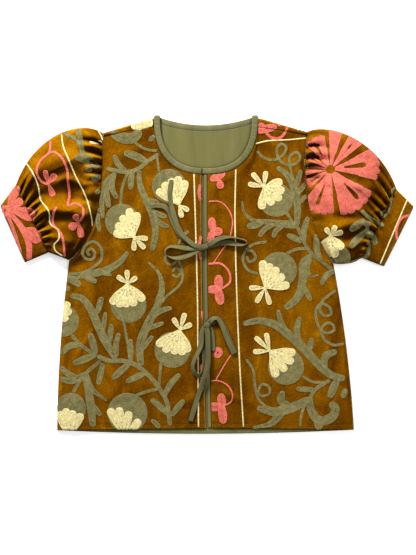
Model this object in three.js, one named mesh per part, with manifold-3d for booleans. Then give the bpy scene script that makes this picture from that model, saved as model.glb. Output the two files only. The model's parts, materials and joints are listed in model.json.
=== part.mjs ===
// A velvet bow top laid flat on its back, seen from above: a short jacket with a round bound neck,
// two fronts that meet at a narrow bound edge, puffed sleeves gathered into wide cuffs, and two
// pairs of cotton ties knotted into bows. Millimetres; +X is the viewer's right, +Y points to the
// neck and +Z up from the surface. "right" and "left" are the wearer's. Every sheet of cloth is a
// closed wall, and neighbouring pieces stay a seam gap apart.
import * as THREE from "three";
import Module from "manifold-3d";
import { mergeVertices } from "three/addons/utils/BufferGeometryUtils.js";

const wasm = await Module();
wasm.setup();

// Cloth
const SEAM_GAP = 0.3;
const CURVED_SEAM_GAP = 0.55;
const BACK_THICK = 1.6;
const LINING_THICK = 1.0;
const FRONT_THICK = 1.8;
const SLEEVE_THICK = 1.8;
const CUFF_THICK = 2.0;
const BINDING_THICK = 2.8;
const TIE_THICK = 1.1;
const TIE_WIDTH = 9.4;

// Body
const LINING_TOP = BACK_THICK + SEAM_GAP + LINING_THICK;
const FRONT_LEVEL = LINING_TOP + SEAM_GAP;
const LINING_INSET = 10;
const LINING_FOLD_INSET = 1;
const LINING_HEM_INSET = 1;
const BACK_HEM_DIP = 7;
const FRONT_HEM_RISE = 3;
const SIDE_ROLL = 8;
const SHOULDER_HEIGHT = 8;
const SHOULDER_BLEND = 34;
const SHOULDER_SHARE = 0.42;
const NECK_FADE_SHARE = 0.4;
const ARMHOLE_BLEND = 60;
const UNDERARM_SHARE = 0.17;
const SHOULDER_SEAM_AT_TIP = 5;
const SHOULDER_SEAM_AT_NECK = 17;

// Neck: the free edge of the front is a superellipse, that of the back a shallow parabola.
const NECK_X = -1.9;
const NECK_Y = 290.6;
const NECK_HALF_WIDTH = 85;
const NECK_DROP_FRONT = 93.6;
const NECK_DROP_BACK = 14;
const NECK_ROUNDNESS = 2.5;
const BINDING_WIDTH = 11.5;
const BINDING_ROUNDING = 0.8;
const BINDING_CROWDING = 0.9;
const NECK_CORNER_FROM = 0.86;
const HALVINGS = 40;

// The bound front edge drops straight from the neck and drifts to the left side near the hem.
const EDGE_X_AT_NECK = -4;
const EDGE_X_AT_HEM = 4.3;
const EDGE_Y_AT_NECK = 187.8;
const EDGE_Y_AT_HEM = -286;
const EDGE_DRIFT_FROM = 60;
const EDGE_WIDTH = 9;
const EDGE_PARTING = 1.2;
const EDGE_DRIFT_POWER = 1.5;
const EDGE_ROUNDING = 0.8;
const EDGE_FLATTENING = 0.3;

// One row for each side of the garment, as it lies.
const SIDES = {
  right: {
    dir: -1,
    hem: [-277.5, -288.6],
    side_bulge: 5,
    underarm: [-255.3, 26],
    armhole_low: [-188, 75],
    armhole_high: [-194, 190],
    tip: [-192.4, 262],
    shoulder_at_neck: [-101.5, 289],
    crown_start: [-235, 290],
    crown_end: [-322, 255],
    cuff_seam_top: [-354, 165.6],
    cuff_seam_foot: [-293.2, 40.7],
    under_sleeve: [-274, 34],
    cuff_edge_top: [-383, 127],
    cuff_edge_foot: [-336.7, 22.2],
  },
  left: {
    dir: 1,
    hem: [272, -287.7],
    side_bulge: 5,
    underarm: [234, 20],
    armhole_low: [176, 98],
    armhole_high: [177, 190],
    tip: [185, 264],
    shoulder_at_neck: [98.5, 289],
    crown_start: [222, 283],
    crown_end: [320, 250],
    cuff_seam_top: [350.6, 158],
    cuff_seam_foot: [286.8, 30.5],
    under_sleeve: [260, 15],
    cuff_edge_top: [383, 126],
    cuff_edge_foot: [327.5, 14.8],
  },
};

// Rings of the puffed sleeve, from the armhole (s 0) to the cuff seam (s 1). height is the top of
// the ring above the surface and fold the height of its two side folds.
const PUFF = [
  { s: 0.0, height: 8.6, fold: 3.6 },
  { s: 0.12, height: 18, fold: 7 },
  { s: 0.35, height: 25, fold: 10 },
  { s: 0.65, height: 23, fold: 9 },
  { s: 0.88, height: 15, fold: 6 },
  { s: 1.0, height: 10.5, fold: 4.5 },
];
const CUFF = [
  { s: 0.0, height: 10.5, fold: 4.5 },
  { s: 0.5, height: 10.5, fold: 4.5 },
  { s: 1.0, height: 9.5, fold: 4 },
];

const CROWN_POWER = 0.36;
const UNDER_POWER = 0.3;
const UNDER_SPREAD = 1.25;

// Gathers run out of a seam. at is the place across the sleeve, from the crown fold (0) to the
// underarm fold (1); lean is how far it drifts by the time it has died away.
const CUFF_GATHERS = {
  right: [
    { at: 0.1, height: 2.6, width: 0.035, reach: 0.42, lean: 0.02 },
    { at: 0.21, height: 3.4, width: 0.04, reach: 0.5, lean: -0.03 },
    { at: 0.33, height: 2.6, width: 0.035, reach: 0.3, lean: 0.0 },
    { at: 0.43, height: 3.8, width: 0.035, reach: 0.62, lean: 0.05 },
    { at: 0.54, height: 3.0, width: 0.032, reach: 0.34, lean: 0.02 },
    { at: 0.64, height: 3.4, width: 0.034, reach: 0.3, lean: -0.02 },
    { at: 0.75, height: 4.0, width: 0.036, reach: 0.5, lean: 0.02 },
    { at: 0.87, height: 2.8, width: 0.035, reach: 0.3, lean: 0.0 },
  ],
  left: [
    { at: 0.12, height: 3.6, width: 0.04, reach: 0.6, lean: 0.03 },
    { at: 0.24, height: 2.8, width: 0.034, reach: 0.4, lean: -0.02 },
    { at: 0.34, height: 3.6, width: 0.036, reach: 0.46, lean: 0.03 },
    { at: 0.45, height: 2.6, width: 0.032, reach: 0.3, lean: 0.0 },
    { at: 0.55, height: 3.4, width: 0.035, reach: 0.4, lean: -0.03 },
    { at: 0.66, height: 3.8, width: 0.036, reach: 0.5, lean: 0.02 },
    { at: 0.77, height: 2.8, width: 0.034, reach: 0.3, lean: 0.0 },
    { at: 0.88, height: 3.2, width: 0.035, reach: 0.32, lean: 0.0 },
  ],
};
const CAP_GATHERS = {
  right: [
    { at: 0.07, height: 4.0, width: 0.028, reach: 0.34, lean: -0.02 },
    { at: 0.145, height: 5.2, width: 0.027, reach: 0.3, lean: 0.0 },
    { at: 0.22, height: 5.0, width: 0.026, reach: 0.26, lean: 0.02 },
    { at: 0.29, height: 4.4, width: 0.026, reach: 0.22, lean: 0.03 },
    { at: 0.38, height: 3.6, width: 0.03, reach: 0.32, lean: 0.04 },
    { at: 0.5, height: 3.0, width: 0.034, reach: 0.3, lean: 0.02 },
    { at: 0.66, height: 2.6, width: 0.036, reach: 0.26, lean: 0.0 },
  ],
  left: [
    { at: 0.09, height: 3.6, width: 0.032, reach: 0.24, lean: 0.0 },
    { at: 0.18, height: 4.8, width: 0.03, reach: 0.28, lean: 0.02 },
    { at: 0.26, height: 4.2, width: 0.028, reach: 0.22, lean: 0.03 },
    { at: 0.35, height: 3.6, width: 0.028, reach: 0.2, lean: 0.02 },
    { at: 0.48, height: 3.0, width: 0.036, reach: 0.26, lean: 0.02 },
    { at: 0.64, height: 2.4, width: 0.036, reach: 0.24, lean: 0.0 },
  ],
};

// Gathers and folds fade at the side folds of the sleeve, and a gather is low at its own seam.
const GATHER_RISE = 0.05;
const GATHER_AT_SEAM = 0.25;
const SIDE_FADE = 0.3;
const LONG_FOLD_END = 0.12;

// Long soft folds across a sleeve, from (s, w) to (s, w).
const SLEEVE_FOLDS = {
  right: [
    { from_s: 0.3, from_w: 0.16, to_s: 0.95, to_w: 0.1, height: 3.2, width: 0.05 },
    { from_s: 0.2, from_w: 0.62, to_s: 0.8, to_w: 0.48, height: 3.5, width: 0.06 },
    { from_s: 0.25, from_w: 0.86, to_s: 0.85, to_w: 0.78, height: 2.6, width: 0.05 },
    { from_s: 0.3, from_w: 0.38, to_s: 0.62, to_w: 0.3, height: -3.0, width: 0.08 },
  ],
  left: [
    { from_s: 0.3, from_w: 0.34, to_s: 0.9, to_w: 0.22, height: 2.6, width: 0.06 },
    { from_s: 0.25, from_w: 0.66, to_s: 0.85, to_w: 0.56, height: 3.4, width: 0.06 },
    { from_s: 0.45, from_w: 0.12, to_s: 0.95, to_w: 0.14, height: -2.4, width: 0.05 },
    { from_s: 0.3, from_w: 0.86, to_s: 0.8, to_w: 0.8, height: 2.4, width: 0.05 },
  ],
};

// Soft swells of the fronts: where the velvet stands off the back a little.
const SWELLS = [
  { x: -215, y: -60, long: 150, wide: 22, turn: 86, height: 3.4 },
  { x: -150, y: 60, long: 90, wide: 30, turn: 60, height: 2.6 },
  { x: -110, y: -200, long: 90, wide: 34, turn: 15, height: 2.2 },
  { x: -60, y: 40, long: 130, wide: 26, turn: 82, height: 1.8 },
  { x: -232, y: -230, long: 60, wide: 20, turn: 75, height: 2.4 },
  { x: 60, y: 0, long: 160, wide: 26, turn: 92, height: 1.9 },
  { x: 130, y: 90, long: 90, wide: 32, turn: 115, height: 2.6 },
  { x: 215, y: -90, long: 150, wide: 22, turn: 97, height: 3.4 },
  { x: 120, y: -190, long: 90, wide: 34, turn: 165, height: 2.2 },
  { x: 228, y: -245, long: 50, wide: 20, turn: 100, height: 2.4 },
];

// Ties. Each tie is one or two flat strips that meet at the knot. lift is the middle of the strip
// above the velvet and tilt its turn about its own length in degrees: 0 lies flat, 90 stands on
// its edge. head, where given, is the heading in plan across a fold that turns straight back.
const TIES = {
  tie_upper_right: {
    knot: { x: -8, y: 50, long: 22, wide: 10.5, high: 5.6, turn: 8 },
    loop: [
      { x: -10, y: 50.5, lift: 5.6, tilt: 6 },
      { x: -23, y: 48.4, lift: 4.6, tilt: 12 },
      { x: -41, y: 48.7, lift: 4.6, tilt: 26 },
      { x: -58, y: 51.4, lift: 5.2, tilt: 50 },
      { x: -70.5, y: 51, lift: 5.4, tilt: 66 },
      { x: -77, y: 44.6, lift: 5.4, tilt: 78 },
      { x: -75, y: 36.4, lift: 5.4, tilt: 92 },
      { x: -65, y: 31, lift: 5.2, tilt: 116 },
      { x: -50, y: 30.6, lift: 4.4, tilt: 146 },
      { x: -35, y: 35.6, lift: 3.8, tilt: 158 },
      { x: -21, y: 42.4, lift: 4.4, tilt: 168 },
      { x: -8, y: 48.4, lift: 5.2, tilt: 174 },
    ],
    tail: [
      { x: -10, y: 51, lift: 7.2, tilt: 0 },
      { x: -22, y: 53.5, lift: 7.2, tilt: 0 },
      { x: -34, y: 62, lift: 5.6, tilt: 8 },
      { x: -45.5, y: 73, lift: 3.6, tilt: 6 },
      { x: -53.5, y: 86, lift: 3.1, tilt: -4 },
      { x: -58.5, y: 100, lift: 3.1, tilt: -6 },
      { x: -62.5, y: 114, lift: 3.1, tilt: 0 },
      { x: -66.5, y: 131, lift: 2.6, tilt: 24 },
      { x: -68.4, y: 149, lift: 2.8, tilt: 28 },
      { x: -66.8, y: 164, lift: 1.5, tilt: 8 },
      { x: -64.8, y: 175, lift: 1.1, tilt: 0 },
    ],
  },
  tie_upper_left: {
    loop: [
      { x: -5.5, y: 51, lift: 2.5, tilt: 0 },
      { x: 4, y: 55.5, lift: 3.8, tilt: -4 },
      { x: 14.8, y: 62.6, lift: 5.0, tilt: -16 },
      { x: 28, y: 68, lift: 5.4, tilt: -40 },
      { x: 44.4, y: 69.2, lift: 5.6, tilt: -72 },
      { x: 60.5, y: 66.4, lift: 5.6, tilt: -80 },
      { x: 71, y: 62.6, lift: 5.6, tilt: -86 },
      { x: 73.6, y: 58.6, lift: 5.6, tilt: -94 },
      { x: 68, y: 55.4, lift: 5.2, tilt: -112 },
      { x: 54, y: 56.2, lift: 3.8, tilt: -148 },
      { x: 37, y: 58.6, lift: 2.4, tilt: -166 },
      { x: 21, y: 57, lift: 1.3, tilt: -178 },
      { x: 8, y: 53.4, lift: 1.1, tilt: -180 },
      { x: -6, y: 50, lift: 1.1, tilt: -180 },
    ],
    tail: [
      { x: -2, y: 50.5, lift: 1.1, tilt: 0 },
      { x: -14, y: 49.6, lift: 1.1, tilt: 0 },
      { x: -27, y: 54.4, lift: 1.1, tilt: 0 },
      { x: -39, y: 63, lift: 1.1, tilt: 0 },
      { x: -50, y: 74, lift: 1.1, tilt: 0 },
      { x: -58.5, y: 88, lift: 1.1, tilt: 0 },
      { x: -64.5, y: 103, lift: 1.1, tilt: 0 },
      { x: -70.5, y: 117, lift: 1.1, tilt: 0 },
      { x: -79.5, y: 125.6, lift: 1.3, tilt: 6 },
      { x: -92, y: 127.6, lift: 1.4, tilt: 8 },
      { x: -103.6, y: 126.4, lift: 1.1, tilt: 0 },
    ],
  },
  tie_lower_right: {
    knot: { x: -0.6, y: -94, long: 13, wide: 12, high: 5.6, turn: 60 },
    loop: [
      { x: -1.5, y: -95, lift: 6.4, tilt: 10 },
      { x: -7.5, y: -103, lift: 5.6, tilt: 20 },
      { x: -13.5, y: -116, lift: 4.8, tilt: 34 },
      { x: -19, y: -134, lift: 4.8, tilt: 48 },
      { x: -25, y: -151, lift: 5.0, tilt: 58 },
      { x: -27.2, y: -169, lift: 5.0, tilt: 60 },
      { x: -23.6, y: -183, lift: 4.6, tilt: 54 },
      { x: -16, y: -188, lift: 4.2, tilt: 46 },
      { x: -9, y: -183, lift: 3.4, tilt: 34 },
      { x: -5.8, y: -172, lift: 2.6, tilt: 22 },
      { x: -6.4, y: -154, lift: 2.4, tilt: 18 },
      { x: -8, y: -134, lift: 2.8, tilt: 18 },
      { x: -8.2, y: -115, lift: 3.6, tilt: 14 },
      { x: -4.4, y: -101, lift: 4.8, tilt: 8 },
      { x: -1.5, y: -95, lift: 5.2, tilt: 4 },
    ],
    tail: [
      { x: -0.6, y: -95, lift: 7.2, tilt: 0 },
      { x: 0.8, y: -106, lift: 7.8, tilt: 0 },
      { x: 1.8, y: -130, lift: 8.2, tilt: 4 },
      { x: 1.9, y: -160, lift: 8.0, tilt: 4 },
      { x: -0.9, y: -177, lift: 8.0, tilt: 4 },
      { x: -6, y: -193, lift: 7.2, tilt: 2 },
      { x: -11, y: -208, lift: 3.6, tilt: 0 },
      { x: -15.6, y: -222, lift: 1.5, tilt: 0 },
      { x: -24, y: -249, lift: 1.1, tilt: 0 },
      { x: -30.5, y: -272, lift: 1.1, tilt: 0 },
    ],
  },
  tie_lower_left: {
    loop: [
      { x: -1.5, y: -94.5, lift: 2.5, tilt: 0 },
      { x: 4.6, y: -87.6, lift: 3.6, tilt: -12 },
      { x: 11, y: -81.6, lift: 5.0, tilt: -36 },
      { x: 18.5, y: -80.4, lift: 5.6, tilt: -48 },
      { x: 25, y: -88, lift: 5.4, tilt: -30 },
      { x: 31.5, y: -104, lift: 4.8, tilt: -12 },
      { x: 40, y: -125, lift: 4.2, tilt: -4 },
      { x: 47.6, y: -141, lift: 3.8, tilt: 0, head: -64 },
      { x: 50.4, y: -146.6, lift: 2.7, tilt: 0, head: -64 },
      { x: 48.8, y: -140.4, lift: 1.4, tilt: 0, head: -64 },
      { x: 42, y: -124, lift: 1.2, tilt: 0, head: -67 },
      { x: 34.5, y: -104, lift: 1.2, tilt: 0, head: -66 },
      { x: 26.5, y: -90.5, lift: 1.2, tilt: 0, head: -40 },
      { x: 14, y: -87, lift: 1.1, tilt: 0, head: 8 },
      { x: 0, y: -92.5, lift: 1.1, tilt: 0, head: 24 },
    ],
    tail: [
      { x: 1, y: -94.5, lift: 1.1, tilt: 0 },
      { x: 6.6, y: -102, lift: 1.1, tilt: 0 },
      { x: 9.8, y: -114, lift: 1.1, tilt: 0 },
      { x: 11, y: -128, lift: 1.1, tilt: 0 },
      { x: 11.2, y: -141.5, lift: 1.1, tilt: 0 },
    ],
  },
};
const KNOT_BASE = 3.4;

// How finely each form is cut into facets. Crowding draws the steps towards the folds.
const CROWN_STEPS = 36;
const CROWN_CROWDING = 0.55;
const UNDER_STEPS = 8;
const UNDER_CROWDING = 0.8;
const SLEEVE_RINGS = 14;
const CUFF_RINGS = 4;
const CUFF_CROWN_STEPS = 16;
const CUFF_UNDER_STEPS = 6;
const FRONT_ACROSS_SHOULDER = 7;
const FRONT_ACROSS_NECK = 8;
const FRONT_SIDE_CROWDING = 1.6;
const FRONT_UP_SIDE = 7;
const FRONT_UP_ARMHOLE = 13;
const OUTLINE_STEPS = 24;
const ROLL_STEPS = 6;
const WRAP_STEPS = 6;
const WRAP_ARC_STEPS = 6;
const WRAP_LAP = 6;
const KNOT_AROUND = 14;
const KNOT_DOWN = 8;
const BINDING_STEPS = 14;
const BACK_NECK_STEPS = 24;
const EDGE_STEPS = 20;
const TIE_STEPS_A_ROW = 3;

const mix = (a, b, t) => a + (b - a) * t;
const clamp = (t) => Math.min(1, Math.max(0, t));
const smooth = (t) => clamp(t) ** 2 * (3 - 2 * clamp(t));
const bell = (d) => Math.exp(-d * d);
const point = (xy) => new THREE.Vector2(xy[0], xy[1]);

// A value from a table of rows, eased from row to row.
function fromRows(rows, s, column) {
  let k = 0;
  while (k < rows.length - 2 && s > rows[k + 1].s) k += 1;
  const a = rows[k];
  const b = rows[k + 1];
  return mix(a[column], b[column], smooth((s - a.s) / (b.s - a.s)));
}

// A closed wall between two grids of points of one size. closed says that each row is a ring.
function wall(outer, inner, closed) {
  const rows = outer.length;
  const columns = outer[0].length;
  const inside = rows * columns;
  const last = closed ? columns : columns - 1;
  const at = (i, j) => i * columns + (j % columns);
  const faces = [];
  const quad = (a, b, c, d) => faces.push(a, b, c, a, c, d);
  for (let i = 0; i < rows - 1; i += 1) {
    for (let j = 0; j < last; j += 1) {
      const [a, b, c, d] = [at(i, j), at(i + 1, j), at(i + 1, j + 1), at(i, j + 1)];
      quad(a, b, c, d);
      quad(a + inside, d + inside, c + inside, b + inside);
    }
  }
  for (let j = 0; j < last; j += 1) {
    const [a, d] = [at(0, j), at(0, j + 1)];
    const [b, c] = [at(rows - 1, j), at(rows - 1, j + 1)];
    quad(a, d, d + inside, a + inside);
    quad(c, b, b + inside, c + inside);
  }
  for (let i = 0; i < rows - 1 && !closed; i += 1) {
    const [a, b] = [at(i, 0), at(i + 1, 0)];
    const [d, c] = [at(i, last), at(i + 1, last)];
    quad(b, a, a + inside, b + inside);
    quad(d, c, c + inside, d + inside);
  }
  return facingOut([...outer.flat(), ...inner.flat()], faces);
}

// A solid strip lofted through sections, each a ring of the same number of points.
function loft(sections) {
  const n = sections[0].length;
  const faces = [];
  for (let i = 0; i < sections.length - 1; i += 1) {
    for (let j = 0; j < n; j += 1) {
      const k = (j + 1) % n;
      faces.push(i * n + j, (i + 1) * n + j, (i + 1) * n + k);
      faces.push(i * n + j, (i + 1) * n + k, i * n + k);
    }
  }
  const end = (sections.length - 1) * n;
  for (let j = 1; j < n - 1; j += 1) {
    faces.push(0, j, j + 1);
    faces.push(end, end + j + 1, end + j);
  }
  return facingOut(sections.flat(), faces);
}

function facingOut(points, faces) {
  let volume = 0;
  for (let i = 0; i < faces.length; i += 3) {
    const [a, b, c] = [points[faces[i]], points[faces[i + 1]], points[faces[i + 2]]];
    volume += a.dot(b.clone().cross(c));
  }
  const index = volume < 0 ? faces.slice().reverse() : faces;
  const geometry = new THREE.BufferGeometry().setFromPoints(points);
  geometry.setIndex(index);
  return geometry;
}

function toSolid(geometry) {
  const bare = geometry.clone();
  bare.deleteAttribute("normal");
  bare.deleteAttribute("uv");
  const merged = mergeVertices(bare, 1e-3);
  return new wasm.Manifold(
    new wasm.Mesh({
      numProp: 3,
      vertProperties: merged.attributes.position.array,
      triVerts: new Uint32Array(merged.index.array),
    }),
  );
}

function fromSolid(solid) {
  const mesh = solid.getMesh();
  const geometry = new THREE.BufferGeometry();
  geometry.setAttribute("position", new THREE.BufferAttribute(mesh.vertProperties, 3));
  geometry.setIndex(new THREE.BufferAttribute(mesh.triVerts, 1));
  return geometry;
}

// Outlines
function edgeX(y) {
  const below = clamp((EDGE_DRIFT_FROM - y) / (EDGE_DRIFT_FROM - EDGE_Y_AT_HEM));
  return mix(EDGE_X_AT_NECK, EDGE_X_AT_HEM, below ** EDGE_DRIFT_POWER);
}

function armhole(side) {
  return new THREE.CubicBezierCurve(
    point(side.tip),
    point(side.armhole_high),
    point(side.armhole_low),
    point(side.underarm),
  );
}

function sideSeam(side) {
  const [a, b] = [point(side.hem), point(side.underarm)];
  const middle = a.clone().add(b).multiplyScalar(0.5);
  middle.x += side.dir * side.side_bulge * 2;
  return new THREE.QuadraticBezierCurve(a, middle, b);
}

// A point of the front neckline, grown outwards by grow; turn is 0 at the shoulder, 1 in front
// and more past the middle.
function frontNeck(dir, turn, grow) {
  const angle = (turn * Math.PI) / 2;
  const power = 2 / NECK_ROUNDNESS;
  const aside = Math.sign(Math.cos(angle)) * Math.abs(Math.cos(angle)) ** power;
  return new THREE.Vector2(
    NECK_X + dir * (NECK_HALF_WIDTH + grow) * aside,
    NECK_Y - (NECK_DROP_FRONT + grow) * Math.sin(angle) ** power,
  );
}

// The turn at which a neckline crosses the line x.
function turnAtX(dir, x, grow) {
  let [low, high] = [0.5, 1.5];
  for (let i = 0; i < HALVINGS; i += 1) {
    const middle = (low + high) / 2;
    if (dir * (frontNeck(dir, middle, grow).x - x) > 0) low = middle;
    else high = middle;
  }
  return low;
}

// A point of the back neckline, moved into the cloth by grow; across runs from -1 to 1.
function backNeck(across, grow) {
  const slope = (2 * NECK_DROP_BACK * across) / NECK_HALF_WIDTH;
  const turnIn = smooth((Math.abs(across) - NECK_CORNER_FROM) / (1 - NECK_CORNER_FROM));
  const into = new THREE.Vector2(slope, -1).normalize();
  into.lerp(new THREE.Vector2(Math.sign(across), 0), turnIn).normalize();
  return new THREE.Vector2(
    NECK_X + across * NECK_HALF_WIDTH,
    NECK_Y - NECK_DROP_BACK * (1 - across * across),
  ).addScaledVector(into, grow);
}

function turnAtHeight(dir, y, grow) {
  let [low, high] = [0, 1];
  for (let i = 0; i < HALVINGS; i += 1) {
    const middle = (low + high) / 2;
    if (frontNeck(dir, middle, grow).y > y) low = middle;
    else high = middle;
  }
  return low;
}

// Heights of the fronts
function swell(x, y) {
  let z = 0;
  for (const row of SWELLS) {
    const turn = THREE.MathUtils.degToRad(row.turn);
    const [dx, dy] = [x - row.x, y - row.y];
    const along = dx * Math.cos(turn) + dy * Math.sin(turn);
    const across = dy * Math.cos(turn) - dx * Math.sin(turn);
    z += row.height * bell(along / row.long) * bell(across / row.wide);
  }
  return z;
}

const velvetTop = (x, y) => FRONT_LEVEL + FRONT_THICK + swell(x, y);

// Across a puffed ring: 0 at either fold, 1 over most of its breadth.
const hump = (w) => 4 * w * (1 - w);
const crown = (w) => hump(w) ** CROWN_POWER;

// A front panel: u runs from the side to the front edge, v from the hem to the shoulder. The
// shoulder seam takes the first SHOULDER_SHARE of u and the neckline the rest.
function frontPanel(side, edgeOffset) {
  const seam = sideSeam(side);
  const hole = armhole(side);
  const neckGrow = BINDING_WIDTH + CURVED_SEAM_GAP;
  const seamStart = SHOULDER_SEAM_AT_TIP / hole.getLength();
  const sideShare = seam.getLength() / (seam.getLength() + hole.getLength());
  const shoulderY = side.shoulder_at_neck[1] - SHOULDER_SEAM_AT_NECK;
  const firstTurn = turnAtHeight(side.dir, shoulderY, neckGrow);
  const tip = hole.getPointAt(seamStart);
  const neckCorner = frontNeck(side.dir, firstTurn, neckGrow);
  const edgeAt = (y) => edgeX(y) + edgeOffset;
  const lastTurn = turnAtX(side.dir, edgeAt(EDGE_Y_AT_NECK), neckGrow);

  const left = (v) =>
    v < sideShare
      ? seam.getPointAt(v / sideShare)
      : hole.getPointAt(mix(1, seamStart, (v - sideShare) / (1 - sideShare)));
  const top = (u) =>
    u < SHOULDER_SHARE
      ? tip.clone().lerp(neckCorner, u / SHOULDER_SHARE)
      : frontNeck(
          side.dir,
          mix(firstTurn, lastTurn, (u - SHOULDER_SHARE) / (1 - SHOULDER_SHARE)),
          neckGrow,
        );
  const edgeTop = top(1);
  const edge = (v) => {
    const y = mix(side.hem[1] + FRONT_HEM_RISE, edgeTop.y, v);
    return new THREE.Vector2(edgeAt(y), y);
  };
  const hem = (u) => point(side.hem).lerp(edge(0), u);

  const plan = (u, v) => {
    const [l, r, b, t] = [left(v), edge(v), hem(u), top(u)];
    const corner = (c, weight) => [c.x * weight, c.y * weight];
    const corners = [
      corner(left(0), (1 - u) * (1 - v)),
      corner(edge(0), u * (1 - v)),
      corner(left(1), (1 - u) * v),
      corner(edge(1), u * v),
    ];
    return new THREE.Vector2(
      mix(l.x, r.x, u) + mix(b.x, t.x, v) - corners.reduce((sum, c) => sum + c[0], 0),
      mix(l.y, r.y, u) + mix(b.y, t.y, v) - corners.reduce((sum, c) => sum + c[1], 0),
    );
  };

  // The underside of the panel above the surface.
  const level = (u, v) => {
    const p = plan(u, v);
    const fromSide = p.distanceTo(left(v));
    let z = FRONT_LEVEL + swell(p.x, p.y);
    const toShoulder = p.distanceTo(top(u)) / SHOULDER_BLEND;
    const neckFade = u < SHOULDER_SHARE ? 1 : 1 - smooth((u - SHOULDER_SHARE) / NECK_FADE_SHARE);
    z = mix(z, SHOULDER_HEIGHT - FRONT_THICK, (1 - smooth(toShoulder)) * neckFade);
    if (v < sideShare) {
      const rolled = BACK_THICK + SEAM_GAP;
      z = mix(rolled, z, smooth(fromSide / SIDE_ROLL));
    } else {
      const w = mix(1, seamStart, (v - sideShare) / (1 - sideShare));
      const ring = PUFF[0];
      const seamLevel = Math.max(
        BACK_THICK + SEAM_GAP,
        mix(ring.fold, ring.height, crown(w)) - FRONT_THICK,
      );
      const reach = mix(SIDE_ROLL, ARMHOLE_BLEND, smooth((1 - w) / UNDERARM_SHARE));
      z = mix(seamLevel, z, smooth(fromSide / reach));
    }
    return z;
  };
  return { plan, level, sideShare };
}

const PANELS = {
  right: frontPanel(SIDES.right, -EDGE_WIDTH / 2 - EDGE_PARTING),
  left: frontPanel(SIDES.left, EDGE_WIDTH / 2 + SEAM_GAP),
};

function frontGeometry(panel) {
  const [outer, inner] = [[], []];
  for (let i = 0; i <= FRONT_UP_SIDE + FRONT_UP_ARMHOLE; i += 1) {
    const v =
      i < FRONT_UP_SIDE
        ? (panel.sideShare * i) / FRONT_UP_SIDE
        : mix(panel.sideShare, 1, (i - FRONT_UP_SIDE) / FRONT_UP_ARMHOLE);
    const [above, below] = [[], []];
    for (let j = 0; j <= FRONT_ACROSS_SHOULDER + FRONT_ACROSS_NECK; j += 1) {
      const u =
        j < FRONT_ACROSS_SHOULDER
          ? SHOULDER_SHARE * (j / FRONT_ACROSS_SHOULDER) ** FRONT_SIDE_CROWDING
          : mix(SHOULDER_SHARE, 1, (j - FRONT_ACROSS_SHOULDER) / FRONT_ACROSS_NECK);
      const p = panel.plan(u, v);
      const z = panel.level(u, v);
      above.push(new THREE.Vector3(p.x, p.y, z + FRONT_THICK));
      below.push(new THREE.Vector3(p.x, p.y, z));
    }
    outer.push(above);
    inner.push(below);
  }
  return wall(outer, inner, false);
}

// Back: a flat panel whose shoulders fold forward over the top to a seam on the front.
function shoulderFold(side, along) {
  return point(side.shoulder_at_neck).lerp(point(side.tip), along);
}

// The outline of the body, inset from its seams, its shoulder folds and its hem.
function bodyOutline(inset, foldDepth, hemInset) {
  const neckGrow = BINDING_WIDTH + SEAM_GAP;
  const edgeOf = (side) => {
    const [seam, hole] = [sideSeam(side), armhole(side)];
    const run = [];
    for (let i = 0; i < OUTLINE_STEPS / 2; i += 1) {
      run.push(seam.getPointAt(i / (OUTLINE_STEPS / 2)));
    }
    for (let i = 0; i < OUTLINE_STEPS; i += 1) run.push(hole.getPointAt(1 - i / OUTLINE_STEPS));
    for (const p of run) p.x -= side.dir * inset;
    const tip = shoulderFold(side, 1).sub(new THREE.Vector2(side.dir * inset, foldDepth));
    const neck = shoulderFold(side, 0).sub(new THREE.Vector2(0, foldDepth));
    neck.x = NECK_X + side.dir * (NECK_HALF_WIDTH + neckGrow);
    return [...run.filter((p) => p.y < tip.y - 1), tip, neck];
  };
  const [leftEdge, rightEdge] = [edgeOf(SIDES.left), edgeOf(SIDES.right)];
  const lowest = leftEdge[leftEdge.length - 1].y - 1;
  const neckline = [];
  for (let i = 0; i <= BACK_NECK_STEPS; i += 1) {
    const p = backNeck(mix(1, -1, i / BACK_NECK_STEPS), neckGrow);
    if (p.y < lowest) neckline.push(p);
  }
  const [a, b] = [rightEdge[0], leftEdge[0]];
  a.y += hemInset;
  b.y += hemInset;
  const hem = [];
  for (let i = 1; i < OUTLINE_STEPS; i += 1) {
    const t = i / OUTLINE_STEPS;
    const dip = BACK_HEM_DIP * 4 * t * (1 - t);
    hem.push(new THREE.Vector2(mix(a.x, b.x, t), mix(a.y, b.y, t) - dip));
  }
  return [...leftEdge, ...neckline, ...rightEdge.reverse(), ...hem];
}

function slab(outline, thick, z) {
  const shape = new THREE.Shape(outline);
  const geometry = new THREE.ExtrudeGeometry(shape, { depth: thick, bevelEnabled: false });
  return geometry.translate(0, 0, z);
}

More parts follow.
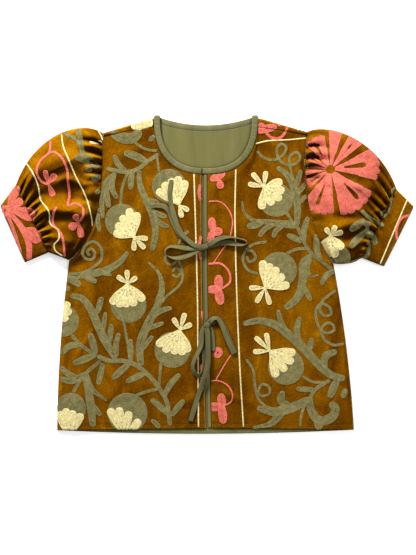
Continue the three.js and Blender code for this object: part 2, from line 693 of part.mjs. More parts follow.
// The shoulder of the back, rolled forward over the fold to the seam it shares with the front.
function shoulderWrap(side) {
  const radius = SHOULDER_HEIGHT / 2;
  const neckGrow = BINDING_WIDTH + SEAM_GAP;
  const arcs = [];
  for (let k = 0; k <= WRAP_ARC_STEPS; k += 1) arcs.push((k * Math.PI) / WRAP_ARC_STEPS);
  const [outer, inner] = [[], []];
  for (let i = 0; i <= WRAP_STEPS; i += 1) {
    const along = i / WRAP_STEPS;
    const fold = shoulderFold(side, along);
    const seamAt = mix(SHOULDER_SEAM_AT_NECK, SHOULDER_SEAM_AT_TIP, along) - SEAM_GAP;
    const place = (down, z) => {
      const y = fold.y - down;
      const neckEdge = frontNeck(side.dir, turnAtHeight(side.dir, y, neckGrow), neckGrow).x;
      return new THREE.Vector3(i === 0 ? neckEdge : fold.x, y, z);
    };
    const ring = (r) => arcs.map((a) => place(radius - r * Math.sin(a), radius - r * Math.cos(a)));
    outer.push([place(radius + WRAP_LAP, 0), ...ring(radius), place(seamAt, SHOULDER_HEIGHT)]);
    inner.push([
      place(radius + WRAP_LAP, BACK_THICK),
      ...ring(radius - BACK_THICK),
      place(seamAt, SHOULDER_HEIGHT - BACK_THICK),
    ]);
  }
  return wall(outer, inner, false);
}

function backGeometry() {
  return fromSolid(
    toSolid(slab(bodyOutline(0, SHOULDER_HEIGHT / 2, 0), BACK_THICK, 0))
      .add(toSolid(shoulderWrap(SIDES.right)))
      .add(toSolid(shoulderWrap(SIDES.left))),
  );
}

function liningGeometry() {
  const foldDepth = SHOULDER_HEIGHT / 2 + LINING_FOLD_INSET;
  const outline = bodyOutline(LINING_INSET, foldDepth, LINING_HEM_INSET);
  return slab(outline, LINING_THICK, BACK_THICK + SEAM_GAP);
}

// Sleeves and cuffs: flattened tubes, ring by ring.
function ridge(row, s, w, fromCuff) {
  const away = fromCuff ? 1 - s : s;
  const rise = smooth(away / GATHER_RISE + GATHER_AT_SEAM);
  const along = rise * (1 - smooth((away - GATHER_RISE) / row.reach));
  return row.height * along * bell((w - row.at - row.lean * (away / row.reach)) / row.width);
}

function longFold(row, s, w) {
  const [ds, dw] = [row.to_s - row.from_s, row.to_w - row.from_w];
  const t = clamp(((s - row.from_s) * ds + (w - row.from_w) * dw) / (ds * ds + dw * dw));
  const [offS, offW] = [s - row.from_s - ds * t, w - row.from_w - dw * t];
  return row.height * bell(offW / row.width) * bell(offS / LONG_FOLD_END);
}

function gathers(name, s, w) {
  let z = 0;
  for (const row of CUFF_GATHERS[name]) z += ridge(row, s, w, true);
  for (const row of CAP_GATHERS[name]) z += ridge(row, s, w, false);
  for (const row of SLEEVE_FOLDS[name]) z += longFold(row, s, w);
  return z * smooth(hump(w) / SIDE_FADE);
}

// A patch between four curves: start and finish run across, crest and under run along.
function patch(start, finish, crest, under) {
  return (s, w) => {
    const [c0, c1, a, b] = [start(w), finish(w), crest(s), under(s)];
    const blend = (axis) =>
      mix(c0[axis], c1[axis], s) +
      mix(a[axis], b[axis], w) -
      mix(mix(start(0)[axis], start(1)[axis], w), mix(finish(0)[axis], finish(1)[axis], w), s);
    return new THREE.Vector2(blend("x"), blend("y"));
  };
}

function sleevePlan(side) {
  const hole = armhole(side);
  const crest = new THREE.CubicBezierCurve(
    point(side.tip),
    point(side.crown_start),
    point(side.crown_end),
    point(side.cuff_seam_top),
  );
  const under = new THREE.QuadraticBezierCurve(
    point(side.underarm),
    point(side.under_sleeve),
    point(side.cuff_seam_foot),
  );
  const [a, b] = [point(side.cuff_seam_top), point(side.cuff_seam_foot)];
  const flat = patch(
    (w) => hole.getPointAt(w),
    (w) => a.clone().lerp(b, w),
    (s) => crest.getPointAt(s),
    (s) => under.getPointAt(s),
  );
  return (s, w) => {
    const tangent = hole.getTangentAt(w);
    const out = new THREE.Vector2(tangent.y, -tangent.x);
    if (out.x * side.dir < 0) out.negate();
    return flat(s, w).addScaledVector(out, CURVED_SEAM_GAP * (1 - s));
  };
}

function cuffPlan(side) {
  const corners = ["cuff_seam_top", "cuff_seam_foot", "cuff_edge_top", "cuff_edge_foot"];
  const [a, b, c, d] = corners.map((name) => point(side[name]));
  return (s, w) => {
    const [seam, edge] = [a.clone().lerp(b, w), c.clone().lerp(d, w)];
    const away = edge.clone().sub(seam).setLength(SEAM_GAP);
    return seam.lerp(edge, s).add(away.multiplyScalar(1 - s));
  };
}

function tube(plan, rows, thick, wave, rings, crownSteps, underSteps) {
  const ring = (s, inset) => {
    const height = fromRows(rows, s, "height") - inset;
    const fold = fromRows(rows, s, "fold");
    const breadth = plan(s, 0).distanceTo(plan(s, 1));
    const edge = inset / breadth;
    const points = [];
    for (let i = 0; i <= crownSteps; i += 1) {
      const t = i / crownSteps;
      const w = mix(t, (1 - Math.cos(Math.PI * t)) / 2, CROWN_CROWDING);
      const p = plan(s, mix(edge, 1 - edge, w));
      points.push(new THREE.Vector3(p.x, p.y, mix(fold, height, crown(w)) + wave(s, w)));
    }
    for (let i = 1; i < underSteps; i += 1) {
      const t = 1 - i / underSteps;
      const w = mix(t, (1 - Math.cos(Math.PI * t)) / 2, UNDER_CROWDING);
      const p = plan(s, mix(edge, 1 - edge, w));
      const flat = Math.min(1, hump(w) ** UNDER_POWER * UNDER_SPREAD);
      points.push(new THREE.Vector3(p.x, p.y, mix(fold, inset, flat)));
    }
    return points;
  };
  const [outer, inner] = [[], []];
  for (let i = 0; i <= rings; i += 1) {
    outer.push(ring(i / rings, 0));
    inner.push(ring(i / rings, thick));
  }
  return wall(outer, inner, true);
}

function sleeveGeometry(name) {
  const wave = (s, w) => gathers(name, s, w);
  const plan = sleevePlan(SIDES[name]);
  return tube(plan, PUFF, SLEEVE_THICK, wave, SLEEVE_RINGS, CROWN_STEPS, UNDER_STEPS);
}

function cuffGeometry(name) {
  const plan = cuffPlan(SIDES[name]);
  return tube(plan, CUFF, CUFF_THICK, () => 0, CUFF_RINGS, CUFF_CROWN_STEPS, CUFF_UNDER_STEPS);
}

// The neck binding, one strip: up the right front, over the shoulder, round the back and down.
function neckSection(edge, into, normal, middle) {
  const half = BINDING_THICK / 2;
  const side = half - BINDING_ROUNDING;
  const flat = BINDING_WIDTH - BINDING_ROUNDING;
  const spots = [
    [0, -side],
    [0, side],
    [BINDING_ROUNDING, half],
    [flat, half],
    [BINDING_WIDTH, side],
    [BINDING_WIDTH, -side],
    [flat, -half],
    [BINDING_ROUNDING, -half],
  ];
  return spots.map(([a, b]) =>
    new THREE.Vector3(edge.x, edge.y, middle).addScaledVector(into, a).addScaledVector(normal, b),
  );
}

function frontBindingSections(name) {
  const side = SIDES[name];
  const panel = PANELS[name];
  const endX = edgeX(EDGE_Y_AT_NECK) - EDGE_WIDTH / 2 - (name === "right" ? EDGE_PARTING : 0);
  const sections = [];
  const shoulderY = side.shoulder_at_neck[1] - SHOULDER_SEAM_AT_NECK;
  const firstTurn = turnAtHeight(side.dir, shoulderY, BINDING_WIDTH);
  const lastTurn = turnAtX(side.dir, endX, 0);
  for (let i = 0; i <= BINDING_STEPS; i += 1) {
    const turn = mix(lastTurn, 0, (i / BINDING_STEPS) ** BINDING_CROWDING);
    const edge = frontNeck(side.dir, turn, 0);
    const outer = frontNeck(side.dir, turn, BINDING_WIDTH);
    if (i === 0) outer.x = endX;
    const into = new THREE.Vector3(outer.x - edge.x, outer.y - edge.y, 0).normalize();
    const share = clamp((turn - firstTurn) / (lastTurn - firstTurn));
    const z = panel.level(mix(SHOULDER_SHARE, 1, share), 1);
    sections.push(
      neckSection(edge, into, new THREE.Vector3(0, 0, 1), z + FRONT_THICK / 2 + SEAM_GAP),
    );
  }
  return sections;
}

function neckBindingGeometry() {
  const top = PANELS.right.level(SHOULDER_SHARE, 1) + FRONT_THICK / 2 + SEAM_GAP;
  const bottom = BINDING_THICK / 2;
  const radius = (top - bottom) / 2;
  const roll = (dir, angle) => {
    const normal = new THREE.Vector3(0, Math.sin(angle), Math.cos(angle));
    const edge = frontNeck(dir, 0, 0);
    edge.y += radius * Math.sin(angle);
    const middle = bottom + radius + radius * Math.cos(angle);
    return neckSection(edge, new THREE.Vector3(dir, 0, 0), normal, middle);
  };
  const rolls = [];
  for (let k = 1; k < ROLL_STEPS; k += 1) rolls.push((k * Math.PI) / ROLL_STEPS);
  const back = [];
  for (let i = 0; i <= BACK_NECK_STEPS; i += 1) {
    const across = mix(-1, 1, i / BACK_NECK_STEPS);
    const edge = backNeck(across, 0);
    const outer = backNeck(across, BINDING_WIDTH);
    const into = new THREE.Vector3(outer.x - edge.x, outer.y - edge.y, 0).normalize();
    back.push(neckSection(edge, into, new THREE.Vector3(0, 0, -1), bottom));
  }
  return loft([
    ...frontBindingSections("right"),
    ...rolls.map((angle) => roll(-1, angle)),
    ...back,
    ...rolls.reverse().map((angle) => roll(1, angle)),
    ...frontBindingSections("left").reverse(),
  ]);
}

// The bound edge of the left front, from the hem to the neck binding.
function edgeBindingGeometry() {
  const panel = PANELS.left;
  const sections = [];
  const half = EDGE_WIDTH / 2;
  const topY = frontNeck(1, 1, BINDING_WIDTH).y - SEAM_GAP;
  for (let i = 0; i <= EDGE_STEPS; i += 1) {
    const v = i / EDGE_STEPS;
    const y = Math.min(panel.plan(1, v).y, topY);
    const x = edgeX(y);
    const z = panel.level(1, v);
    sections.push([
      new THREE.Vector3(x - half, y, z + EDGE_FLATTENING),
      new THREE.Vector3(x - half, y, z + FRONT_THICK - EDGE_FLATTENING),
      new THREE.Vector3(x - half + EDGE_ROUNDING, y, z + FRONT_THICK),
      new THREE.Vector3(x + half, y, z + FRONT_THICK),
      new THREE.Vector3(x + half, y, z),
      new THREE.Vector3(x - half + EDGE_ROUNDING, y, z),
    ]);
  }
  return loft(sections);
}

// Bows
function knotGeometry(knot) {
  const ball = new THREE.SphereGeometry(0.5, KNOT_AROUND, KNOT_DOWN);
  ball.scale(knot.long, knot.wide, knot.high);
  ball.rotateZ(THREE.MathUtils.degToRad(knot.turn));
  return ball.translate(knot.x, knot.y, velvetTop(knot.x, knot.y) + KNOT_BASE + knot.high / 2);
}

// Headings of the rows in degrees, unwound so that each is under half a turn from the last.
function headings(rows) {
  const found = [];
  rows.forEach((row, i) => {
    const before = rows[Math.max(0, i - 1)];
    const after = rows[Math.min(rows.length - 1, i + 1)];
    const course = Math.atan2(after.y - before.y, after.x - before.x);
    let head = row.head ?? THREE.MathUtils.radToDeg(course);
    while (i > 0 && head - found[i - 1] > 180) head -= 360;
    while (i > 0 && head - found[i - 1] < -180) head += 360;
    found.push(head);
  });
  return found;
}

function stripGeometry(rows) {
  const spots = rows.map((row) => new THREE.Vector3(row.x, row.y, row.lift));
  const route = new THREE.CatmullRomCurve3(spots, false, "centripetal");
  const heads = headings(rows);
  const steps = (rows.length - 1) * TIE_STEPS_A_ROW;
  const sections = [];
  for (let i = 0; i <= steps; i += 1) {
    const t = i / steps;
    const k = Math.min(rows.length - 2, Math.floor(t * (rows.length - 1)));
    const part = t * (rows.length - 1) - k;
    const head = THREE.MathUtils.degToRad(mix(heads[k], heads[k + 1], part));
    const tilt = THREE.MathUtils.degToRad(mix(rows[k].tilt, rows[k + 1].tilt, part));
    const flat = new THREE.Vector3(Math.cos(head), Math.sin(head), 0);
    const across = new THREE.Vector3(-flat.y, flat.x, 0).applyAxisAngle(flat, tilt);
    const normal = route.getTangent(t).cross(across).normalize();
    const place = route.getPoint(t);
    place.z += velvetTop(place.x, place.y);
    const corner = (a, b) =>
      place
        .clone()
        .addScaledVector(across, (a * TIE_WIDTH) / 2)
        .addScaledVector(normal, (b * TIE_THICK) / 2);
    sections.push([corner(-1, -1), corner(1, -1), corner(1, 1), corner(-1, 1)]);
  }
  return loft(sections);
}

function tieGeometry(parts) {
  let solid = toSolid(stripGeometry(parts.loop)).add(toSolid(stripGeometry(parts.tail)));
  if (parts.knot) solid = solid.add(toSolid(knotGeometry(parts.knot)));
  return fromSolid(solid);
}

// Materials
const velvet = new THREE.MeshStandardMaterial({ color: 0x8f5d12, roughness: 0.85, metalness: 0 });
const cotton = new THREE.MeshStandardMaterial({ color: 0x77764c, roughness: 0.95, metalness: 0 });
const binding = new THREE.MeshStandardMaterial({ color: 0x646845, roughness: 0.95, metalness: 0 });
const tie = new THREE.MeshStandardMaterial({ color: 0x585f44, roughness: 0.95, metalness: 0 });

const top = new THREE.Group();

function addPiece(name, geometry, material) {
  const mesh = new THREE.Mesh(geometry, material.clone());
  mesh.name = name;
  top.add(mesh);
}

addPiece("back", backGeometry(), velvet);
addPiece("back_lining", liningGeometry(), cotton);
addPiece("front_right", frontGeometry(PANELS.right), velvet);
addPiece("front_left", frontGeometry(PANELS.left), velvet);
for (const name of Object.keys(SIDES)) {
  addPiece(`sleeve_${name}`, sleeveGeometry(name), velvet);
  addPiece(`cuff_${name}`, cuffGeometry(name), velvet);
}
addPiece("neck_binding", neckBindingGeometry(), binding);
addPiece("edge_binding", edgeBindingGeometry(), binding);
for (const [name, parts] of Object.entries(TIES)) addPiece(name, tieGeometry(parts), tie);

// The origin is the middle of the garment's box, on the surface it lies on.
const box = new THREE.Box3().setFromObject(top);
top.position.set(-(box.min.x + box.max.x) / 2, -(box.min.y + box.max.y) / 2, -box.min.z);

export default top;
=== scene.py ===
# A velvet bow top laid flat on its back, seen from straight above. Lengths are millimetres in the
# garment's own frame until a mesh is made, where they become metres: +X is the viewer's right,
# +Y points to the neck and +Z up. "right" and "left" are the wearer's.
import json
import math

import bpy
import numpy as np
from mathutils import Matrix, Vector
from mathutils.bvhtree import BVHTree

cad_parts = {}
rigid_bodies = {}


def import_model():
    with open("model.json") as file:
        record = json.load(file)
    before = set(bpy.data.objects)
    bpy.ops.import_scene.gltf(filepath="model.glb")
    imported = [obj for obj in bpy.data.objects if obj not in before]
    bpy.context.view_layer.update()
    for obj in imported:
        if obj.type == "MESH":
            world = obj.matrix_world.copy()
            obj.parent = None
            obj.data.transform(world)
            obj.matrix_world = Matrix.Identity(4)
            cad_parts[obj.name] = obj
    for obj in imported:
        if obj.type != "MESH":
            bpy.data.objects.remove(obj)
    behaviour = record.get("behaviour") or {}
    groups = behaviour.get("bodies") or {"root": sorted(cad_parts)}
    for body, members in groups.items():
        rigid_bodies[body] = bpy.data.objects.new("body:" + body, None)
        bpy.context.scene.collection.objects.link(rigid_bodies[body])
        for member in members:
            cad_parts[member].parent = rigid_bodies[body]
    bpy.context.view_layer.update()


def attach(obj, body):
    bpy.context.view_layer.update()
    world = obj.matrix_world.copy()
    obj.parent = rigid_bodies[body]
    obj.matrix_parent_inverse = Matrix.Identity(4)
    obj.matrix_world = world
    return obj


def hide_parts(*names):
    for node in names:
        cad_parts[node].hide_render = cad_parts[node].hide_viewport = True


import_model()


def table(columns, rows):
    """Rows of values as dictionaries. A column left out at the end of a row is missing there."""
    return [dict(zip(columns, row)) for row in rows]


def grey(value):
    return (value, value, value)


MM = 0.001
# Moved this far towards the neck, the garment's box has its middle at the origin.
ROW_SHIFT_Y = 0.075

# Cloth
SEAM_GAP = 0.3
CURVED_SEAM_GAP = 0.55
BACK_THICK = 1.6
LINING_THICK = 1.0
FRONT_THICK = 1.8
SLEEVE_THICK = 1.8
CUFF_THICK = 2.0
BINDING_THICK = 2.8
TIE_THICK = 0.9
TIE_WIDTH = 10.2

# Body
LINING_TOP = BACK_THICK + SEAM_GAP + LINING_THICK
FRONT_LEVEL = LINING_TOP + SEAM_GAP
LINING_INSET = 10
LINING_FOLD_INSET = 1
LINING_HEM_INSET = 1
BACK_HEM_DIP = 7
FRONT_HEM_RISE = 3
SIDE_ROLL = 8
SHOULDER_HEIGHT = 8
SHOULDER_BLEND = 34
SHOULDER_SHARE = 0.42
NECK_FADE_SHARE = 0.4
ARMHOLE_BLEND = 60
UNDERARM_SHARE = 0.17
SHOULDER_SEAM_AT_TIP = 5
SHOULDER_SEAM_AT_NECK = 17

# Neck and front edge
NECK_X = -1.9
NECK_Y = 290.6
NECK_HALF_WIDTH = 85
NECK_DROP_FRONT = 93.6
NECK_DROP_BACK = 14
NECK_ROUNDNESS = 2.5
NECK_CORNER_FROM = 0.86
BINDING_WIDTH = 11.5
BINDING_CROWDING = 0.9
EDGE_X_AT_NECK = -4
EDGE_X_AT_HEM = 4.3
EDGE_Y_AT_NECK = 187.8
EDGE_Y_AT_HEM = -286
EDGE_DRIFT_FROM = 60
EDGE_WIDTH = 9
EDGE_PARTING = 1.2
EDGE_DRIFT_POWER = 1.5
HALVINGS = 40

# One row for each side of the garment, as it lies.
SIDES = {
    "right": {
        "dir": -1,
        "hem": (-277.5, -288.6),
        "side_bulge": 5,
        "underarm": (-255.3, 26),
        "armhole_low": (-188, 75),
        "armhole_high": (-194, 190),
        "tip": (-192.4, 262),
        "shoulder_at_neck": (-101.5, 289),
        "crown_start": (-235, 290),
        "crown_end": (-322, 255),
        "cuff_seam_top": (-354, 165.6),
        "cuff_seam_foot": (-293.2, 40.7),
        "under_sleeve": (-274, 34),
        "cuff_edge_top": (-383, 127),
        "cuff_edge_foot": (-336.7, 22.2),
    },
    "left": {
        "dir": 1,
        "hem": (272, -287.7),
        "side_bulge": 5,
        "underarm": (234, 20),
        "armhole_low": (176, 98),
        "armhole_high": (177, 190),
        "tip": (185, 264),
        "shoulder_at_neck": (98.5, 289),
        "crown_start": (222, 283),
        "crown_end": (320, 250),
        "cuff_seam_top": (350.6, 158),
        "cuff_seam_foot": (286.8, 30.5),
        "under_sleeve": (260, 15),
        "cuff_edge_top": (383, 126),
        "cuff_edge_foot": (327.5, 14.8),
    },
}

# Rings of the puffed sleeve and the cuff, from the armhole or cuff seam (s 0) outwards (s 1).
RING_COLUMNS = ("s", "height", "fold")
PUFF = table(RING_COLUMNS, [
    (0, 8.6, 3.6),
    (0.12, 18, 7),
    (0.35, 25, 10),
    (0.65, 23, 9),
    (0.88, 15, 6),
    (1, 10.5, 4.5),
])
CUFF = table(RING_COLUMNS, [
    (0, 10.5, 4.5),
    (0.5, 10.5, 4.5),
    (1, 9.5, 4),
])
CROWN_POWER = 0.36
UNDER_POWER = 0.3
UNDER_SPREAD = 1.25

# Gathers run out of a seam. at is the place across the sleeve, from the crown fold (0) to the
# underarm fold (1); lean is how far it drifts by the time it has died away.
GATHER_COLUMNS = ("at", "height", "width", "reach", "lean")
CUFF_GATHERS = {
    "right": table(GATHER_COLUMNS, [
        (0.09, 2.2, 0.03, 0.26, 0.02),
        (0.19, 3, 0.03, 0.34, -0.03),
        (0.3, 3.2, 0.026, 0.2, 0),
        (0.385, 5.4, 0.026, 0.3, 0.03),
        (0.47, 4.4, 0.024, 0.22, 0.01),
        (0.55, 5.2, 0.025, 0.3, -0.02),
        (0.63, 4.6, 0.024, 0.22, -0.01),
        (0.71, 5.8, 0.026, 0.34, 0.02),
        (0.8, 4.4, 0.025, 0.24, 0),
        (0.89, 3.2, 0.028, 0.22, 0),
    ]),
    "left": table(GATHER_COLUMNS, [
        (0.11, 4.6, 0.03, 0.46, 0.03),
        (0.22, 3.6, 0.027, 0.26, -0.02),
        (0.31, 4.8, 0.027, 0.36, 0.03),
        (0.41, 3.4, 0.025, 0.22, 0),
        (0.5, 4.4, 0.026, 0.3, -0.03),
        (0.59, 3.4, 0.024, 0.2, 0),
        (0.68, 5.2, 0.028, 0.34, 0.02),
        (0.78, 4, 0.026, 0.22, 0),
        (0.88, 3.4, 0.028, 0.22, 0),
    ]),
}
CAP_GATHERS = {
    "right": table(GATHER_COLUMNS, [
        (0.06, 2.6, 0.026, 0.26, -0.02),
        (0.13, 5.6, 0.022, 0.24, 0),
        (0.2, 6.6, 0.021, 0.2, 0.02),
        (0.265, 6.2, 0.02, 0.17, 0.03),
        (0.33, 4.4, 0.02, 0.13, 0.02),
        (0.45, 2.4, 0.03, 0.22, 0.04),
        (0.6, 1.6, 0.034, 0.2, 0),
    ]),
    "left": table(GATHER_COLUMNS, [
        (0.08, 3.2, 0.03, 0.2, 0),
        (0.16, 5.6, 0.025, 0.24, 0.02),
        (0.23, 5.2, 0.022, 0.18, 0.03),
        (0.3, 4.2, 0.022, 0.16, 0.02),
        (0.42, 2.2, 0.032, 0.2, 0.02),
        (0.6, 1.6, 0.034, 0.18, 0),
    ]),
}
GATHER_RISE = 0.05
GATHER_AT_SEAM = 0.25
GATHER_SINK = 0.45
SINK_AWAY = 1.7
SINK_WIDTH = 0.6
SIDE_FADE = 0.3
LONG_FOLD_END = 0.12

# Long soft folds and finer creases across a sleeve, from (s, w) to (s, w).
FOLD_COLUMNS = ("from_s", "from_w", "to_s", "to_w", "height", "width")
SLEEVE_FOLDS = {
    "right": table(FOLD_COLUMNS, [
        (0.3, 0.22, 0.76, 0.15, 4.2, 0.075),
        (0.2, 0.64, 0.86, 0.52, 5.4, 0.04),
        (0.3, 0.86, 0.8, 0.8, 2.8, 0.04),
        (0.34, 0.48, 0.8, 0.38, -6.4, 0.075),
        (0.2, 0.42, 0.4, 0.35, 2.6, 0.026),
        (0.14, 0.52, 0.3, 0.52, -1.8, 0.03),
        (0.5, 0.68, 0.72, 0.64, -1.6, 0.04),
        (0.52, 0.31, 0.66, 0.28, -2, 0.05),
    ]),
    "left": table(FOLD_COLUMNS, [
        (0.4, 0.38, 0.86, 0.24, 2, 0.04),
        (0.52, 0.8, 0.8, 0.7, -3, 0.045),
        (0.3, 0.72, 0.8, 0.6, 3.4, 0.04),
        (0.6, 0.12, 0.95, 0.14, -2.4, 0.04),
        (0.3, 0.88, 0.76, 0.82, 2.4, 0.04),
        (0.62, 0.34, 0.84, 0.44, 2.4, 0.022),
        (0.68, 0.2, 0.88, 0.26, 2.4, 0.02),
        (0.42, 0.62, 0.58, 0.6, -1.8, 0.03),
        (0.7, 0.52, 0.9, 0.58, 2.4, 0.022),
    ]),
}

# Soft swells of the fronts, as in the solids: where the velvet stands off the back a little.
WAVE_COLUMNS = ("x", "y", "long", "wide", "turn", "height")
SWELLS = table(WAVE_COLUMNS, [
    (-215, -60, 150, 22, 86, 3.4),
    (-150, 60, 90, 30, 60, 2.6),
    (-110, -200, 90, 34, 15, 2.2),
    (-60, 40, 130, 26, 82, 1.8),
    (-232, -230, 60, 20, 75, 2.4),
    (60, 0, 160, 26, 92, 1.9),
    (130, 90, 90, 32, 115, 2.6),
    (215, -90, 150, 22, 97, 3.4),
    (120, -190, 90, 34, 165, 2.2),
    (228, -245, 50, 20, 100, 2.4),
])

# Creases of the fronts: ridges above 0 and troughs below it.
CREASE_RELIEF = 1.4
CREASES = table(WAVE_COLUMNS, [
    (-262, -30, 60, 4, 82, 1.3),
    (-268, -190, 46, 5, 84, 1.2),
    (-122, 118, 30, 6, 96, 0.8),
    (-196, -180, 34, 5, 70, -0.8),
    (239, -4, 30, 4, 112, 1.6),
    (247, -64, 38, 4, 96, 1.4),
    (258, -190, 50, 4.5, 92, 1.3),
    (232, -232, 30, 5, 70, -1),
    (54, 66, 60, 4, 88, 0.6),
    (150, 140, 26, 6, 80, -0.8),
    (-201, 165, 46, 4, 84, 2.2),
    (-208, 118, 40, 5, 74, 2.4),
    (-193, 140, 52, 5, 80, -1.4),
    (-218, 74, 38, 5.5, 58, 1.8),
    (-236, 34, 26, 5, 32, 1.6),
    (-222, 22, 40, 7, 18, -1),
    (-128, 232, 34, 9, 20, 1),
    (-176, 214, 28, 7, 70, 1.1),
    (-60, 176, 42, 12, -32, 0.9),
    (-250, -76, 46, 7, 84, -1.2),
    (-226, -128, 34, 6, 60, 1),
    (-186, -10, 30, 9, 120, 0.8),
    (-90, -70, 44, 11, 66, -0.8),
    (-40, -236, 40, 7, 24, 0.9),
    (-148, -236, 36, 8, 8, -0.7),
    (-34, 20, 60, 6, 88, 0.9),
    (172, 196, 48, 4, 96, 2.2),
    (163, 168, 44, 5, 100, -1.3),
    (176, 134, 38, 5, 110, 2),
    (205, 60, 36, 5, 124, 2),
    (216, 26, 34, 6, 148, 1.4),
    (196, 34, 30, 5, 132, -1.2),
    (118, 240, 34, 9, -18, 1),
    (44, 186, 40, 9, 40, 1),
    (84, 196, 30, 8, 62, -0.7),
    (24, 120, 56, 6, 92, -0.8),
    (152, 6, 36, 9, 78, 0.9),
    (240, -44, 34, 5.5, 122, 1.6),
    (250, -106, 40, 6, 98, -1.2),
    (222, -150, 36, 8, 74, 0.9),
    (92, -92, 44, 11, 112, -0.8),
    (46, -226, 40, 7, 158, 0.8),
    (176, -246, 34, 8, -8, -0.7),
    (24, -60, 70, 6.5, 91, 0.8),
])


# Helpers
NEAR_ZERO = 1e-9


def mix(a, b, t):
    return a + (b - a) * t


def clamp(t):
    return np.clip(t, 0.0, 1.0)


def smooth(t):
    t = clamp(t)
    return t * t * (3 - 2 * t)


def bell(d):
    return np.exp(-d * d)


def unit(vectors):
    return vectors / np.maximum(np.linalg.norm(vectors, axis=1, keepdims=True), NEAR_ZERO)


# Curves in plan and waves of the cloth
CURVE_STEPS = 600
RIPPLE_HEIGHT = 0.22


def by_length(points):
    """A curve through points, which gives its spots by the share of its length."""
    steps = np.linalg.norm(np.diff(points, axis=0), axis=1)
    run = np.concatenate([[0], np.cumsum(steps)])

    def at(t):
        place = np.asarray(t, float) * run[-1]
        columns = [np.interp(place, run, points[:, k]) for k in range(points.shape[1])]
        return np.stack(columns, -1)

    at.length = run[-1]
    return at


def bezier(*corners):
    t = np.linspace(0, 1, CURVE_STEPS)[:, None]
    points = [np.array(c, float)[None, :] for c in corners]
    while len(points) > 1:
        points = [a * (1 - t) + b * t for a, b in zip(points, points[1:])]
    return by_length(points[0])


def edge_x(y):
    """The middle of the front closing at a height y. It drifts aside towards the hem."""
    below = clamp((EDGE_DRIFT_FROM - y) / (EDGE_DRIFT_FROM - EDGE_Y_AT_HEM))
    return mix(EDGE_X_AT_NECK, EDGE_X_AT_HEM, below**EDGE_DRIFT_POWER)


def armhole(side):
    """The armhole, from the tip of the shoulder to the underarm."""
    return bezier(side["tip"], side["armhole_high"], side["armhole_low"], side["underarm"])


def side_seam(side):
    """The side seam, from the hem to the underarm."""
    middle = (np.array(side["hem"]) + np.array(side["underarm"])) / 2
    middle[0] += side["dir"] * side["side_bulge"] * 2
    return bezier(side["hem"], middle, side["underarm"])


def front_neck(direction, turn, grow):
    """The front neckline, from the shoulder (turn 0) to its lowest spot (turn 1), grown outwards."""
    angle = np.asarray(turn, float) * math.pi / 2
    power = 2 / NECK_ROUNDNESS
    aside = np.sign(np.cos(angle)) * np.abs(np.cos(angle)) ** power
    x = NECK_X + direction * (NECK_HALF_WIDTH + grow) * aside
    y = NECK_Y - (NECK_DROP_FRONT + grow) * np.abs(np.sin(angle)) ** power
    return np.stack([x, y], -1)


def halve(low, high, goes_on):
    """The last place between low and high at which goes_on still holds, by halving."""
    for _ in range(HALVINGS):
        middle = (low + high) / 2
        if goes_on(middle):
            low = middle
        else:
            high = middle
    return low


def turn_at_x(direction, x, grow):
    return halve(0.5, 1.5, lambda t: direction * (front_neck(direction, t, grow)[0] - x) > 0)


def turn_at_height(direction, y, grow):
    return halve(0.0, 1.0, lambda t: front_neck(direction, t, grow)[1] > y)


def back_neck(across, grow):
    """The back neckline, from the right corner (across -1) to the left (1), grown outwards."""
    across = np.asarray(across, float)
    slope = 2 * NECK_DROP_BACK * across / NECK_HALF_WIDTH
    into = np.stack([slope, -np.ones_like(slope)], -1)
    into /= np.linalg.norm(into, axis=-1, keepdims=True)
    turn_in = smooth((np.abs(across) - NECK_CORNER_FROM) / (1 - NECK_CORNER_FROM))[..., None]
    aside = np.stack([np.sign(across), np.zeros_like(across)], -1)
    into = mix(into, aside, turn_in)
    into /= np.linalg.norm(into, axis=-1, keepdims=True)
    x = NECK_X + across * NECK_HALF_WIDTH
    y = NECK_Y - NECK_DROP_BACK * (1 - across * across)
    return np.stack([x, y], -1) + into * grow


def waves(rows, x, y):
    """The height of oval swells or creases, added up at each spot."""
    z = np.zeros(np.broadcast(x, y).shape)
    for row in rows:
        turn = math.radians(row["turn"])
        dx = x - row["x"]
        dy = y - row["y"]
        along = dx * math.cos(turn) + dy * math.sin(turn)
        across = dy * math.cos(turn) - dx * math.sin(turn)
        z = z + row["height"] * bell(along / row["long"]) * bell(across / row["wide"])
    return z


def ripple(x, y):
    """A faint unevenness of the whole cloth, as velvet has after wear, of waves that don't repeat."""
    z = np.sin(x / 17 + 1.3 * np.sin(y / 41)) * np.sin(y / 23 + np.sin(x / 31))
    return RIPPLE_HEIGHT * (z + 0.6 * np.sin(x / 9 + y / 13) * np.sin(y / 11 - x / 19))


def velvet_top(x, y):
    """The height of the fronts' velvet, without its creases."""
    return FRONT_LEVEL + FRONT_THICK + waves(SWELLS, x, y)


def hump(w):
    """1 in the middle of a sleeve and 0 at its two folds."""
    return 4 * w * (1 - w)


def crown(w):
    """The share of a sleeve's height at a place across it."""
    return np.maximum(hump(w), 0) ** CROWN_POWER


# Front panels
CREASE_FROM_SEAM = 7


